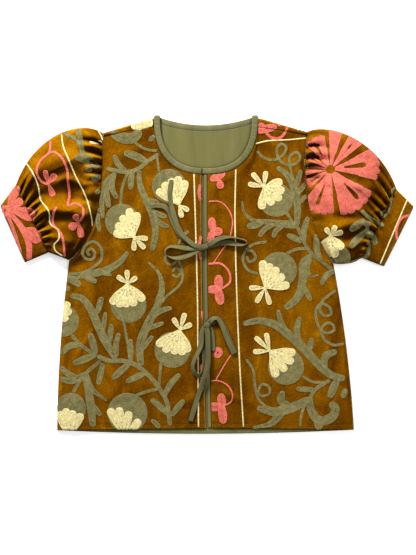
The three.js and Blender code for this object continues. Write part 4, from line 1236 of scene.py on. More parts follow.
TIE_FOLD = 0.85
TIE_FOLD_WIDTH = 0.24
TIE_FOLD_DRIFT = 0.45
TIE_BOW = 0.25
TIE_EDGE_THINNING = 0.7
TIE_NARROWING = 0.12
TIE_PINCH = 0.12
TIE_PINCH_STEPS = 6
LOOP_PHASE = 0.4
TAIL_PHASE = 2.1
KNOT_AROUND = 40
KNOT_ALONG = 26
KNOT_ROUNDNESS = 0.42
KNOT_FOLDS = (0.07, 0.04)


def spline(points, t):
    """A point of a smooth route through points, and its heading."""
    last = len(points) - 1
    k = min(last - 1, int(t * last))
    part = t * last - k
    b = points[k]
    c = points[k + 1]
    a = points[k - 1] if k > 0 else 2 * b - c
    d = points[k + 2] if k + 2 <= last else 2 * c - b
    d0, d1, d2 = (math.sqrt(np.linalg.norm(q - p)) for p, q in ((a, b), (b, c), (c, d)))
    start = ((b - a) / d0 - (c - a) / (d0 + d1) + (c - b) / d1) * d1
    end = ((c - b) / d1 - (d - b) / (d1 + d2) + (d - c) / d2) * d1
    bend = -3 * b + 3 * c - 2 * start - end
    twist = 2 * b - 2 * c + start + end
    place = b + start * part + bend * part**2 + twist * part**3
    return place, start + 2 * bend * part + 3 * twist * part**2


def tie_spots(rows):
    return np.array([(row["x"], row["y"], row["lift"]) for row in rows], float)


def headings(rows):
    """The heading of a tie at each of its rows in degrees, turning the short way round."""
    found = []
    for i, row in enumerate(rows):
        before = rows[max(0, i - 1)]
        after = rows[min(len(rows) - 1, i + 1)]
        course = math.degrees(math.atan2(after["y"] - before["y"], after["x"] - before["x"]))
        head = row.get("head", course)
        while found and head - found[-1] > 180:
            head -= 360
        while found and head - found[-1] < -180:
            head += 360
        found.append(head)
    return found


def tie_strip(rows, phase):
    """A strip along a tie's rows, a little folded and narrowed, so that it isn't even."""
    spots = list(tie_spots(rows))
    heads = headings(rows)
    last = len(rows) - 1
    steps = last * TIE_STEPS_A_ROW
    sections = []
    for i in range(steps + 1):
        t = i / steps
        k = min(last - 1, int(t * last))
        part = t * last - k
        head = math.radians(mix(heads[k], heads[k + 1], part))
        tilt = math.radians(mix(rows[k]["tilt"], rows[k + 1]["tilt"], part))
        place, course = spline(spots, t)
        flat = np.array([math.cos(head), math.sin(head), 0])
        side = np.array([-flat[1], flat[0], 0])
        across = side * math.cos(tilt) + np.array([0, 0, 1]) * math.sin(tilt)
        normal = np.cross(course, across)
        normal /= np.linalg.norm(normal)
        place[2] += float(velvet_top(place[0], place[1])) + TIE_CLEAR
        pinch = 1 - TIE_PINCH * bell(min(i, steps - i) / TIE_PINCH_STEPS - 0.3)
        pinch *= 1 - TIE_NARROWING * (0.5 + 0.5 * math.sin(i / 8 + 3 * phase + math.sin(i / 5)))
        section = []
        for half in (1, -1):
            for step in range(TIE_ACROSS):
                share = half * (1 - 2 * step / (TIE_ACROSS - 1))
                thick = TIE_THICK / 2 * (1 - TIE_EDGE_THINNING * abs(share) ** 6)
                fold_at = TIE_FOLD_DRIFT * math.sin(i / 9 + phase)
                fold = TIE_FOLD * bell((share - fold_at) / TIE_FOLD_WIDTH)
                bow = fold * math.sin(i / 7 + phase) - TIE_BOW * share * share
                spot = place + across * share * TIE_WIDTH / 2 * pinch
                section.append(spot + normal * (half * thick + bow))
        sections.append(section)
    return loft(sections)


def knot_form(knot):
    """The knot: a short band drawn tight round the ties, with soft folds along it."""
    deep, fine = KNOT_FOLDS
    turn = math.radians(knot["turn"])
    sections = []
    for i in range(1, KNOT_ALONG):
        t = i / KNOT_ALONG
        swell = math.sin(math.pi * t) ** KNOT_ROUNDNESS
        section = []
        for k in range(KNOT_AROUND):
            angle = 2 * math.pi * k / KNOT_AROUND
            fold = 1 + deep * math.sin(5 * angle + 5 * t) + fine * math.sin(9 * angle - 4 * t)
            x = (t - 0.5) * knot["long"]
            y = knot["wide"] / 2 * swell * fold * math.cos(angle)
            z = knot["high"] / 2 * swell * fold * math.sin(angle)
            section.append((
                knot["x"] + x * math.cos(turn) - y * math.sin(turn),
                knot["y"] + x * math.sin(turn) + y * math.cos(turn),
                z,
            ))
        sections.append(section)
    points, faces = loft(sections)
    base = float(velvet_top(knot["x"], knot["y"])) + KNOT_BASE + TIE_CLEAR
    points[:, 2] += base + knot["high"] / 2
    return points, faces


def joined(forms):
    """Several forms as one: their points and their faces."""
    points = []
    faces = []
    count = 0
    for spots, cells in forms:
        points.append(np.asarray(spots, float))
        faces += [[corner + count for corner in cell] for cell in cells]
        count += len(spots)
    return np.concatenate(points), faces


def tie_piece(name, parts, material):
    forms = [tie_strip(parts["loop"], LOOP_PHASE), tie_strip(parts["tail"], TAIL_PHASE)]
    if "knot" in parts:
        forms.append(knot_form(parts["knot"]))
    points, faces = joined(forms)
    return make_object(f"{name}_cotton", points, faces, material)


# Embroidery: strokes through a few spots of the photograph, filled with rows of chain stitch.
# The photograph's scale, and the spot of it that lies at the garment's own zero.
MM_A_PIXEL = 1.85
MIDDLE_PX = 207
MIDDLE_PY = 274.5

# Rows of yarn in millimetres, and how far each kind of work is lifted off the velvet.
ROW_PITCH = 1.75
ROW_WIDTH = 1.95
ROW_HEIGHT = 0.85
ROW_STEP = 2.0
DISC_LIFT = 0.0
PETAL_LIFT = 0.55
STAMEN_LIFT = 0.7
LINE_LIFT = 0.15

# A stroke up to ONE_ROW wide is a single row. Wider ones get loops, a core and a closed ground.
ONE_ROW = 3.4
GROUND_STEP = 3.0
GROUND_LIFT = 0.12
GROUND_INSET = 0.5
DISC_AROUND = 40
DISC_RINGS = 9
LOOP_LEAST = 0.45
CORE_LEAST = 0.6
CORE_FROM = 0.5
ROUTE_PIECES = 14
ROUND_STARTS = ("cord", "leaf", "frond")

# A spot is dropped on the cloths from this height in metres. It finds no hold on a steeper normal.
DROP_FROM = 0.2
STEEPEST = 0.12

# A row's section: corners across it (in half widths) and up from the velvet (in heights).
SECTION = [(-1.0, -0.5), (-0.72, 0.55), (0.0, 1.0), (0.72, 0.55), (1.0, -0.5)]
SMOOTHED_FROM = 4
END_FULLNESS = 0.25

# The cloths that a kind of work may lie on.
RIGHT_BODY = ("front_right", "shoulder_right")
LEFT_BODY = ("front_left", "shoulder_left")
RIGHT_SLEEVE = ("sleeve_right", "cuff_right")
LEFT_SLEEVE = ("sleeve_left", "cuff_left")

# Poppy heads: a disc, petals that fan from a hub back over it, and stamens beyond the hub. The
# radius is in millimetres. Disc, hub, tips and stamens are spots (px, py) of the photograph.
HEADS = table(("cloths", "disc", "radius", "hub", "tips", "stamens"), [
    (RIGHT_BODY, (169, 186), 31.45, (179, 205),
     [(158, 191), (164, 184), (171, 180), (178, 178), (185, 182)],
     [(182, 218), (189, 211)]),
    (RIGHT_BODY, (122, 221), 31.45, (134, 237),
     [(115, 233), (117, 225), (122, 217), (129, 210), (137, 214)],
     [(148, 239), (145, 249), (134, 251)]),
    (RIGHT_BODY, (128.5, 305), 33.3, (127.5, 284),
     [(112, 303), (119, 306), (126, 306), (134, 305), (143, 300)],
     [(117, 276), (127, 270), (137, 277)]),
    (RIGHT_BODY, (172.5, 350), 33.3, (180, 330),
     [(158, 345), (165, 351), (174, 353), (182, 354), (188, 351)],
     [(173, 318), (185, 313), (192, 324)]),
    (RIGHT_BODY, (71, 408), 27.75, (68, 438),
     [(60, 413), (66, 410), (73, 412), (81, 415)],
     []),
    (RIGHT_BODY, (127.5, 413), 37, (124, 436),
     [(110, 410), (119, 409), (129, 413), (139, 421)],
     []),
    (RIGHT_BODY, (63, 321), 29.6, (54, 306),
     [(69, 306), (70, 313), (66, 320)],
     []),
    (LEFT_BODY, (276, 200), 31.45, (264, 187),
     [(281, 182), (283, 191), (280, 199), (272, 204), (262, 208)],
     [(248, 184), (252, 173), (266, 171)]),
    (LEFT_BODY, (279, 270), 33.3, (265, 288),
     [(263, 262), (270, 265), (277, 269), (283, 276), (288, 285)],
     [(249, 288), (256, 303), (270, 305)]),
    (LEFT_BODY, (286, 367), 33.3, (270, 351),
     [(294, 353), (292, 362), (285, 370), (276, 376)],
     [(253, 352), (255, 337), (266, 333)]),
    (LEFT_SLEEVE, (338, 258), 22.2, (330, 236),
     [(321, 250), (328, 256), (335, 256), (341, 248)],
     [(325, 228), (335, 226), (342, 232)]),
])
PETAL_WIDTH = 14.43
STAMEN_WIDTH = 9.25

# Strokes: profile, width in millimetres and spots (px, py) of the photograph, as judged from it.
OLIVE_RIGHT_BODY = [
    ("leaf", 20.35, [(111, 133), (122, 138), (133, 138), (141, 131)]),
    ("cord", 5.18, [(134, 142), (145, 149), (157, 151)]),
    ("leaf", 9.25, [(149, 141), (155, 136)]),
    ("leaf", 14.8, [(147, 162), (135, 156), (124, 153)]),
    ("leaf", 11.1, [(126, 171), (118, 164), (114, 155)]),
    ("cord", 7.77, [(159, 154), (147, 162), (138, 169), (127, 172), (106, 169)]),
    ("cord", 4.44, [(157, 156), (159, 172)]),
    ("leaf", 12.025, [(133, 170), (131, 180), (130.5, 190)]),
    ("cord", 5.18, [(128, 172), (122.5, 187), (120.5, 206)]),
    ("leaf", 11.1, [(115, 172), (112, 187), (117, 199)]),
    ("leaf", 12.95, [(115, 173), (106, 185), (109, 208)]),
    ("leaf", 9.25, [(106, 185), (102, 201), (103, 219)]),
    ("leaf", 10.175, [(103, 193), (98, 192)]),
    ("leaf", 8.325, [(102, 212), (98, 209)]),
    ("leaf", 8.88, [(99, 213), (98, 222), (99.5, 232)]),
    ("frond", 13.69, [(139, 170), (140, 185), (146, 200), (152.5, 215), (155.5, 232), (152, 251)]),
    ("leaf", 10.175, [(147, 200), (159, 203)]),
    ("leaf", 9.62, [(152, 210), (160, 215), (167, 217)]),
    ("leaf", 9.62, [(155, 217), (161, 224), (169, 227)]),
    ("cord", 5.365, [(90, 256), (87.5, 252.5), (91, 249), (95, 253), (93, 259), (86, 259), (82.5, 253),
                     (86, 245), (94, 242), (101, 248), (101, 260), (91, 269), (80, 274)]),
    ("frond", 14.06, [(128, 252), (120, 262), (107, 270), (85, 275), (66, 276)]),
    ("leaf", 8.51, [(101, 273), (112, 275)]),
    ("leaf", 11.1, [(84, 277), (97, 282)]),
    ("leaf", 13.875, [(64, 277), (72, 280), (81, 286)]),
    ("leaf", 9.25, [(66, 286), (69, 291)]),
    ("leaf", 7.4, [(182, 236), (189, 231)]),
    ("cord", 4.44, [(182, 236), (178, 245)]),
    ("cord", 4.81, [(166, 254), (165.5, 262), (172, 264.5), (178, 259)]),
    ("cord", 4.81, [(178, 259), (182, 271), (182, 281), (177, 288), (166, 297), (162, 303)]),
    ("cord", 4.81, [(172, 272), (176, 268), (180.5, 272), (177, 277), (172, 275)]),
    ("horn", 14.06, [(158, 303), (162, 290), (159, 274), (148, 262)]),
    ("frond", 15.91, [(163, 288), (158, 305), (148, 324), (140, 345), (141, 366)]),
    ("leaf", 9.99, [(152, 318), (161, 311), (172, 308)]),
    ("leaf", 8.88, [(147, 330), (155, 326), (164, 323)]),
    ("leaf", 8.88, [(143, 350), (147, 343), (153, 336)]),
    ("frond", 15.54, [(70, 296), (81, 298), (90, 308), (97, 323), (105, 341), (116, 359)]),
    ("cord", 8.51, [(97, 356), (109, 361), (123, 361), (133, 364), (146, 373), (159, 388), (167, 403),
                    (170, 426)]),
    ("leaf", 11.47, [(97, 314), (102, 297)]),
    ("leaf", 8.88, [(103, 333), (105.5, 312)]),
    ("leaf", 10.73, [(109, 346), (111.5, 324)]),
    ("leaf", 10.73, [(117, 357), (116, 345), (119, 333)]),
    ("leaf", 10.73, [(131, 362), (130.5, 339)]),
    ("leaf", 12.95, [(130, 363), (112, 379)]),
    ("leaf", 11.84, [(147, 372), (137, 377), (126, 382)]),
    ("cord", 5.18, [(123.5, 322), (127, 340), (130, 361)]),
    ("leaf", 13.32, [(96, 354), (93, 343), (90, 333)]),
    ("leaf", 13.32, [(96, 355), (83, 360), (73, 364)]),
    ("cord", 6.66, [(71, 335), (82, 346), (97, 356)]),
    ("leaf", 11.47, [(103, 363), (98, 385)]),
    ("leaf", 12.21, [(81, 345), (70, 346), (61, 354)]),
    ("cord", 6.66, [(101, 361), (92, 368), (84, 375)]),
    ("leaf", 12.95, [(85, 374), (72, 381), (60, 379)]),
    ("leaf", 11.1, [(77, 377), (68, 374), (61, 367)]),
    ("cord", 7.03, [(81, 379), (73, 393)]),
    ("horn", 15.54, [(84, 374), (92, 389), (107, 401)]),
    ("frond", 15.54, [(85, 375), (90, 400), (93, 427)]),
    ("leaf", 9.99, [(91, 403), (101, 416)]),
    ("cord", 5.18, [(161, 362), (159, 388)]),
    ("leaf", 11.84, [(164, 397), (170, 385), (180, 374)]),
    ("cord", 5.55, [(135, 396), (146, 392), (158, 389)]),
    ("leaf", 11.84, [(171, 416), (160, 407), (151, 399)]),
    ("leaf", 11.84, [(171, 416), (184, 400)]),
    ("leaf", 9.25, [(151, 420), (155, 423), (160, 428)]),
]
OLIVE_LEFT_BODY = [
    ("cord", 5.18, [(257, 151), (264, 158), (274, 160), (284, 154), (286, 147), (281, 144), (277, 149),
                    (279, 159), (287, 165), (297, 163), (300, 156), (296, 152.5), (290, 157),
                    (291, 171), (294, 182)]),
    ("frond", 13.69, [(277, 167), (287, 175), (293, 186), (297, 202), (297, 226)]),
    ("leaf", 9.99, [(296, 187), (301, 170)]),
    ("leaf", 9.25, [(298, 194), (306, 183)]),
    ("leaf", 8.51, [(298, 204), (307, 195)]),
    ("leaf", 8.14, [(306.5, 156), (306, 167)]),
    ("cord", 5.55, [(286, 212), (293, 223)]),
    ("horn", 14.8, [(296, 225), (282, 224), (266, 222), (252, 220), (244, 212), (242, 201)]),
    ("leaf", 13.69, [(263, 223), (247, 227)]),
    ("leaf", 9.99, [(274, 225), (265, 229), (259, 237)]),
    ("leaf", 9.99, [(283, 226), (276, 231), (273, 238)]),
    ("cord", 6.29, [(297, 226), (304, 242), (312, 254), (322, 262), (334, 271)]),
    ("leaf", 11.47, [(304, 242), (304.5, 229), (308, 217)]),
    ("leaf", 11.47, [(303, 242), (287, 235)]),
    ("leaf", 11.47, [(321, 262), (317, 250), (316, 234)]),
    ("leaf", 7.4, [(313, 220), (318, 217)]),
    ("cord", 5.55, [(308, 249), (298, 249), (286, 254)]),
    ("frond", 15.54, [(312, 255), (303, 263), (303, 279), (298, 297), (285, 309)]),
    ("horn", 12.21, [(309, 259), (307, 268), (311, 276), (319, 275)]),
    ("leaf", 9.99, [(304, 286), (311, 301)]),
    ("leaf", 11.1, [(336, 270), (326, 276), (321, 285)]),
    ("cord", 5.18, [(336, 290), (322, 302), (320, 311), (325, 316), (331, 314), (329, 307), (321, 304),
                    (316, 311), (318, 325), (325, 333), (334, 330), (332, 324), (326, 323.5),
                    (321, 330), (324, 339), (333, 345), (344, 344)]),
    ("cord", 5.18, [(267, 242), (255, 244), (246, 250), (243, 260), (248, 270), (258, 274)]),
    ("cord", 5.18, [(246, 256), (250, 262), (255.5, 258), (252, 251), (247, 251)]),
    ("frond", 16.65, [(243, 324), (259, 321), (275, 325), (290, 336), (304, 349), (318, 364),
                      (331, 375), (345, 379)]),
    ("leaf", 9.99, [(288, 333), (281, 322), (278, 310)]),
    ("leaf", 11.47, [(300, 343), (297, 330), (300, 317)]),
    ("leaf", 10.73, [(309, 353), (312, 338)]),
    ("leaf", 14.06, [(325, 370), (325, 357), (337, 351)]),
    ("leaf", 15.17, [(338, 378), (329, 398)]),
    ("cord", 5.18, [(302, 376), (313, 382), (329, 382)]),
    ("cord", 7.03, [(330, 380), (315, 390), (308, 402)]),
    ("leaf", 10.36, [(315, 390), (296, 389)]),
    ("frond", 17.76, [(257, 408), (275, 412), (294, 407), (310, 399)]),
    ("leaf", 14.06, [(291, 406), (281, 401), (283, 391)]),
    ("horn", 17.76, [(283, 409), (272, 423), (253, 428)]),
    ("frond", 17.39, [(310, 397), (311, 410), (320, 421), (333, 416), (335, 407), (329, 404)]),
    ("leaf", 16.65, [(318, 416), (319, 430)]),
    ("cord", 5.18, [(307, 401), (302, 413), (300, 427)]),
    ("leaf", 11.84, [(342, 398), (346, 389)]),
    ("cord", 4.995, [(246, 359), (253, 370), (255, 385), (258, 398), (265, 406), (276, 410)]),
    ("cord", 4.995, [(258, 392), (262, 384.5), (269, 387), (269, 394), (261, 396), (257, 391)]),
]
OLIVE_RIGHT_SLEEVE = [
    ("cord", 7.4, [(64, 134), (75, 139), (81, 146)]),
    ("cord", 9.25, [(78, 129), (81, 140), (82, 148), (84, 156)]),
    ("leaf", 17.575, [(99, 168), (88, 160), (76, 158)]),
    ("leaf", 9.99, [(93, 169), (86, 171)]),
    ("leaf", 11.84, [(101, 176), (92, 181)]),
    ("leaf", 9.25, [(100, 190), (96, 194)]),
]
OLIVE_LEFT_SLEEVE = [
    ("cord", 7.4, [(360, 211), (370, 219), (384, 226)]),
    ("leaf", 13.69, [(364, 220), (357, 225), (349, 231)]),
    ("leaf", 13.69, [(368, 230), (357, 239), (349, 248)]),
    ("leaf", 11.47, [(370, 231), (376, 245)]),
    ("cord", 7.77, [(366, 224), (368, 240), (367, 255), (355, 262), (340, 266)]),
    ("leaf", 9.99, [(359, 222), (370, 225)]),
    ("cord", 4.625, [(398, 185), (392, 191), (391, 200), (388, 212), (383, 217), (381, 213),
                     (386, 211)]),
]
PINK_BODY = [
    ("leaf", 14.8, [(210, 180), (217, 177), (225, 172)]),
    ("petal", 13.32, [(219, 178), (221, 189)]),
    ("cord", 4.81, [(223, 175), (228, 168)]),
    ("cord", 3.145, [(209, 201.5), (220, 202), (228, 209), (232.5, 221), (230.5, 236)]),
    ("cord", 2.405, [(226, 245), (221, 252), (213, 264)]),
    ("oval", 14.8, [(213, 232), (211.5, 217.5)]),
    ("oval", 16.65, [(211, 232.5), (222.8, 231)]),
    ("oval", 14.43, [(213.5, 231), (208, 242)]),
    ("cord", 4.07, [(208, 264), (221, 264), (229, 272), (230, 282), (222, 289)]),
    ("oval", 16.65, [(219, 291), (218.5, 275)]),
    ("oval", 17.02, [(218, 288), (221, 305)]),
    ("oval", 15.54, [(220, 289), (207, 290)]),
    ("cord", 7.77, [(214, 353), (218, 349), (221, 353), (217, 356.5), (214, 353)]),
    ("cord", 3.145, [(216, 322), (221, 326)]),
    ("cord", 2.775, [(231, 355), (224, 366), (216, 380)]),
    ("cord", 3.145, [(209, 381.5), (218, 381), (228, 386), (232.5, 395), (231, 402), (224, 406)]),
    ("oval", 15.91, [(222.4, 408), (221, 393.5)]),
    ("oval", 16.65, [(223, 407), (208, 407)]),
    ("oval", 16.65, [(221.6, 405), (223.6, 424)]),
    ("leaf", 15.17, [(257, 132), (266, 129), (277, 127)]),
    ("petal", 11.1, [(266, 130), (259, 124)]),
    ("cord", 5.18, [(265, 132), (272, 138), (280, 138), (286, 131), (288, 123)]),
    ("cord", 4.81, [(276.5, 120), (280, 127)]),
    ("cord", 5.55, [(200.5, 184), (199, 192), (200.5, 201)]),
    ("cord", 5.55, [(201, 236), (199, 246)]),
    ("cord", 4.81, [(199, 251), (201, 260)]),
    ("cord", 5.55, [(202.5, 310), (203, 320)]),
    ("cord", 5.55, [(202, 364), (202.5, 381)]),
]
PINK_RIGHT_SLEEVE = [
    ("cord", 4.44, [(51, 141), (50, 153), (41, 162), (38, 173), (42, 182), (49, 185)]),
    ("cord", 4.44, [(49, 154), (55, 153), (63, 159), (68, 170), (69, 184), (70, 196), (69, 206),
                    (76, 204), (83, 208), (84, 216), (80, 222)]),
    ("petal", 9.25, [(49, 185), (46, 171)]),
    ("petal", 13.32, [(49, 184), (57, 175)]),
    ("petal", 11.1, [(49, 184), (54, 197)]),
    ("petal", 13.32, [(79, 222), (75.5, 215)]),
    ("petal", 14.43, [(79, 223), (70, 229)]),
    ("petal", 11.47, [(79, 222), (82, 238)]),
    ("cord", 4.44, [(58, 207), (54, 216), (54, 225), (60, 231), (64, 240), (65, 257)]),
    ("cord", 8.14, [(5, 206), (1.5, 211), (5, 215), (8.5, 210.5), (5, 206)]),
    ("petal", 16.65, [(8, 209), (13, 196), (18, 186)]),
    ("petal", 14.8, [(9, 209), (23, 200)]),
    ("petal", 23.125, [(9, 210), (20, 212), (36, 217)]),
    ("frond", 11.84, [(10, 213), (22, 228), (29, 244), (29, 262)]),
    ("petal", 22.2, [(25, 229), (33, 232), (39, 243)]),
    ("cord", 6.29, [(7, 213), (14, 231), (21, 254)]),
]
PINK_LEFT_SLEEVE = [
    ("cord", 4.81, [(412, 215), (402, 218), (396.5, 228), (397, 239), (401, 245), (404, 238)]),
]
CREAM_RIGHT_SLEEVE = [
    ("cord", 3.145, [(62, 135), (64, 147), (70, 161), (76, 176), (84, 192), (89, 205), (92, 220),
                     (92.5, 236)]),
    ("cord", 3.145, [(27, 164), (34, 174), (39, 187), (41, 200), (50, 212), (51, 224), (59, 231),
                     (60, 239), (55, 245), (56, 251), (63, 256)]),
    ("cord", 3.145, [(97, 129), (102, 138), (103, 146)]),
    ("leaf", 8.51, [(102, 142.5), (90, 142.5)]),
]
CREAM_LEFT_SLEEVE = [
    ("cord", 3.145, [(408, 198), (396, 226), (379, 267)]),
]
CREAM_BODY = [
    ("cord", 3.145, [(194, 174), (196, 240), (197.5, 300), (198, 360), (198.5, 427)]),
    ("cord", 3.145, [(236, 164), (235, 215), (237, 300), (240, 370), (243.5, 427)]),
    ("cord", 3.145, [(255, 144), (268, 141), (288, 140), (308, 138)]),
    ("cord", 5.55, [(298, 127), (298.5, 131)]),
    ("cord", 21.275, [(131, 126), (153, 122)]),
]

# The strokes in the order in which they are sewn, with their cloths.
OLIVE_WORK = [
    (OLIVE_RIGHT_BODY, RIGHT_BODY),
    (OLIVE_LEFT_BODY, LEFT_BODY),
    (OLIVE_RIGHT_SLEEVE, RIGHT_SLEEVE),
    (OLIVE_LEFT_SLEEVE, LEFT_SLEEVE),
]
LINE_WORK = [
    (PINK_BODY, "pink", RIGHT_BODY + LEFT_BODY),
    (PINK_RIGHT_SLEEVE, "pink", RIGHT_SLEEVE),
    (PINK_LEFT_SLEEVE, "pink", LEFT_SLEEVE),
    (CREAM_BODY, "cream", RIGHT_BODY + LEFT_BODY),
    (CREAM_RIGHT_SLEEVE, "cream", RIGHT_SLEEVE),
    (CREAM_LEFT_SLEEVE, "cream", LEFT_SLEEVE),
]


def on_garment(spots):
    spots = np.asarray(spots, float).reshape(-1, 2)
    x = (spots[:, 0] - MIDDLE_PX) * MM_A_PIXEL
    y = (MIDDLE_PY - spots[:, 1]) * MM_A_PIXEL
    return np.stack([x, y], -1)


def evenly(points, step):
    curve = by_length(np.asarray(points))
    count = max(3, int(round(curve.length / step)) + 1)
    return curve(np.linspace(0, 1, count))


def route_through(points, step):
    """A smooth route through points, cut to even steps, and its length."""
    pieces = ROUTE_PIECES * (len(points) - 1)
    dense = np.array([spline(list(points), i / pieces)[0] for i in range(pieces + 1)])
    return evenly(dense, step), by_length(dense).length


# The share of a stroke's width from its start (t 0) to its end (t 1).
PROFILES = {
    "cord": lambda t: np.ones_like(t),
    "leaf": lambda t: 0.42 + 0.58 * np.sin(math.pi * clamp(0.12 + 0.72 * t)) ** 1.2,
    "petal": lambda t: 0.32 + 0.74 * smooth(t / 0.7),
    "oval": lambda t: 0.44 + 0.56 * np.sin(math.pi * clamp(0.06 + 0.84 * t)),
    "frond": lambda t: 0.5 + 0.5 * np.sin(math.pi * clamp(0.06 + 0.8 * t)),
    "horn": lambda t: 0.28 + 0.72 * (1 - smooth(t)),
}


def outlined(points, width, profile, step):
    """A stroke's middle, its side and its half width, closed at its ends."""
    place, length = route_through(points, step)
    course = unit(np.gradient(place, axis=0))
    side = np.stack([-course[:, 1], course[:, 0]], -1)
    share = np.linspace(0, 1, len(place))
    half = width / 2 * PROFILES[profile](share)
    from_end = clamp((1 - share) * length / np.maximum(half, 0.1))
    half = half * np.sqrt(1 - (1 - from_end) ** 2)
    start = clamp(share * length / np.maximum(half, 0.1))
    if profile in ROUND_STARTS:
        half = half * np.sqrt(1 - (1 - start) ** 2)
    return place, side, half


def filled_rows(points, width, profile):
    """Rows of stitches that fill a stroke: loops inside its outline, closing in on its middle."""
    if width <= ONE_ROW:
        return [route_through(points, ROW_STEP)[0]]
    place, side, half = outlined(points, width, profile, 1.0)
    rows = []
    off = half - ROW_PITCH / 2
    while off.max() > 0:
        widest = off.max()
        for run in runs(np.arange(len(place)), off > 0):
            middle = place[run]
            if widest < LOOP_LEAST * ROW_PITCH:
                rows.append(evenly(middle, ROW_STEP))
                continue
            reach = (side * off[:, None])[run]
            loop = [*(middle + reach), *(middle - reach)[::-1], middle[0] + reach[0]]
            rows.append(evenly(loop, ROW_STEP))
        if CORE_LEAST * ROW_PITCH < widest < ROW_PITCH:
            cores = runs(np.arange(len(place)), off > CORE_FROM)
            rows += [evenly(place[run], ROW_STEP) for run in cores]
        off = off - ROW_PITCH
    return rows


def runs(indices, inside):
    """The stretches of indices where inside holds, of three or more."""
    cuts = np.flatnonzero(np.diff(np.concatenate([[0], inside.astype(int), [0]])))
    return [indices[a:b] for a, b in zip(cuts[::2], cuts[1::2]) if b - a > 2]


def ground(points, width, profile):
    """A grid of spots under a stroke's rows, which closes the gaps between them."""
    place, side, half = outlined(points, width, profile, GROUND_STEP)
    shares = np.linspace(-1, 1, 2 + int(width / GROUND_STEP))
    inner = np.maximum(half - GROUND_INSET, 0)
    return place[:, None] + side[:, None] * (inner[:, None] * shares)[..., None]


def disc_ground(centre, radius):
    turns = np.linspace(0, 2 * math.pi, DISC_AROUND)
    spread = np.stack([np.cos(turns), np.sin(turns)], -1)
    return centre + np.linspace(0.02, radius - GROUND_INSET, DISC_RINGS)[:, None, None] * spread


def disc_rows(centre, radius):
    rows = []
    ring = radius - ROW_PITCH / 2
    while ring > ROW_PITCH / 3:
        count = max(8, int(2 * math.pi * ring / ROW_STEP))
        angle = np.linspace(0, 2 * math.pi, count + 1) + ring
        x = centre[0] + ring * np.cos(angle)
        y = centre[1] + ring * np.sin(angle)
        rows.append(np.stack([x, y], -1))
        ring -= ROW_PITCH
    return rows


class Stitching:
    """Collects rows by the cloth that they lie on and by their colour, and lays them there."""

    def __init__(self, surfaces):
        self.trees = {name: surface_of(piece) for name, piece in surfaces.items()}
        self.rows = {}
        self.grounds = {}

    def cover(self, grid, colour, cloths, lift):
        """Lays a closed ground of yarn on the cloths, where all of a patch's corners meet them."""
        hits = [[self.drop(spot, cloths) for spot in line] for line in grid]
        for upper, lower in zip(hits, hits[1:]):
            for corners in zip(upper, lower, lower[1:], upper[1:]):
                if any(corner is None for corner in corners):
                    continue
                cloth = corners[0][0]
                spots = [place + normal * (lift + GROUND_LIFT) * MM for _, place, normal in corners]
                self.grounds.setdefault((cloth, colour), []).append(spots)

    def lay(self, rows, colour, cloths, lift, width=ROW_WIDTH):
        """Lays rows on the cloths, each cut where it passes from one cloth to the next."""
        for row in rows:
            current = []
            under = None
            for spot in row:
                hit = self.drop(spot, cloths)
                if current and (hit is None or hit[0] != under):
                    self.keep(under, colour, current, lift, width)
                    current = []
                if hit is not None:
                    under = hit[0]
                    current.append(hit[1:])
            if current:
                self.keep(under, colour, current, lift, width)

    def drop(self, spot, cloths):
        """The highest of the cloths straight below a spot, with the place and the normal there."""
        above = Vector((spot[0] * MM, (spot[1] + ROW_SHIFT_Y) * MM, DROP_FROM))
        best = None
        for cloth in cloths:
            place, normal, _, _ = self.trees[cloth].ray_cast(above, Vector((0, 0, -1)))
            if place is None or normal.z < STEEPEST:
                continue
            if best is None or place.z > best[1].z:
                best = (cloth, place, normal)
        return best

    def keep(self, cloth, colour, spots, lift, width):
        if len(spots) > 1:
            self.rows.setdefault((cloth, colour), []).append((spots, lift, width))

    def objects(self, materials):
        pieces = []
        for (cloth, colour), rows in sorted(self.rows.items()):
            patches = self.grounds.get((cloth, colour), [])
            name = f"stitch_{colour}_{cloth}"
            pieces.append(stitched_object(name, rows, patches, materials[colour]))
        return pieces


def row_rings(spots, lift, width):
    """The rings of a row, narrower at its two ends, and the way along it to each ring."""
    place = np.array([spot[0] for spot in spots])
    normal = np.array([spot[1] for spot in spots])
    if len(place) > SMOOTHED_FROM:
        normal[1:-1] = (normal[:-2] + normal[1:-1] + normal[2:]) / 3
    course = unit(np.gradient(place, axis=0))
    side = unit(np.cross(course, normal))
    steps = np.linalg.norm(np.diff(place, axis=0), axis=1)
    along = np.concatenate([[0], np.cumsum(steps)])
    from_end = np.minimum(along, along[-1] - along) / (width * MM / 2)
    full = np.sqrt(clamp(END_FULLNESS + from_end))
    rings = []
    for k in range(len(place)):
        ring = []
        for across, up in SECTION:
            rise = (lift + ROW_HEIGHT * up * full[k]) * MM
            reach = across * width / 2 * MM * full[k]
            ring.append(place[k] + side[k] * reach + normal[k] * rise)
        rings.append(ring)
    return rings, along


def add_row_map(mesh, run, count):
    """The map "rows" of a mesh whose first count points are rings: along a row and across it."""
    layer = mesh.uv_layers.new(name="rows")
    corner = np.zeros(len(mesh.loops), np.int32)
    mesh.loops.foreach_get("vertex_index", corner)
    on_row = corner < count
    rings = np.where(on_row, corner // len(SECTION), 0)
    across = np.where(on_row, corner % len(SECTION), 0)
    layout = np.stack([np.array(run)[rings], across / (len(SECTION) - 1)], -1)
    layer.data.foreach_set("uv", layout.ravel().astype(np.float32))


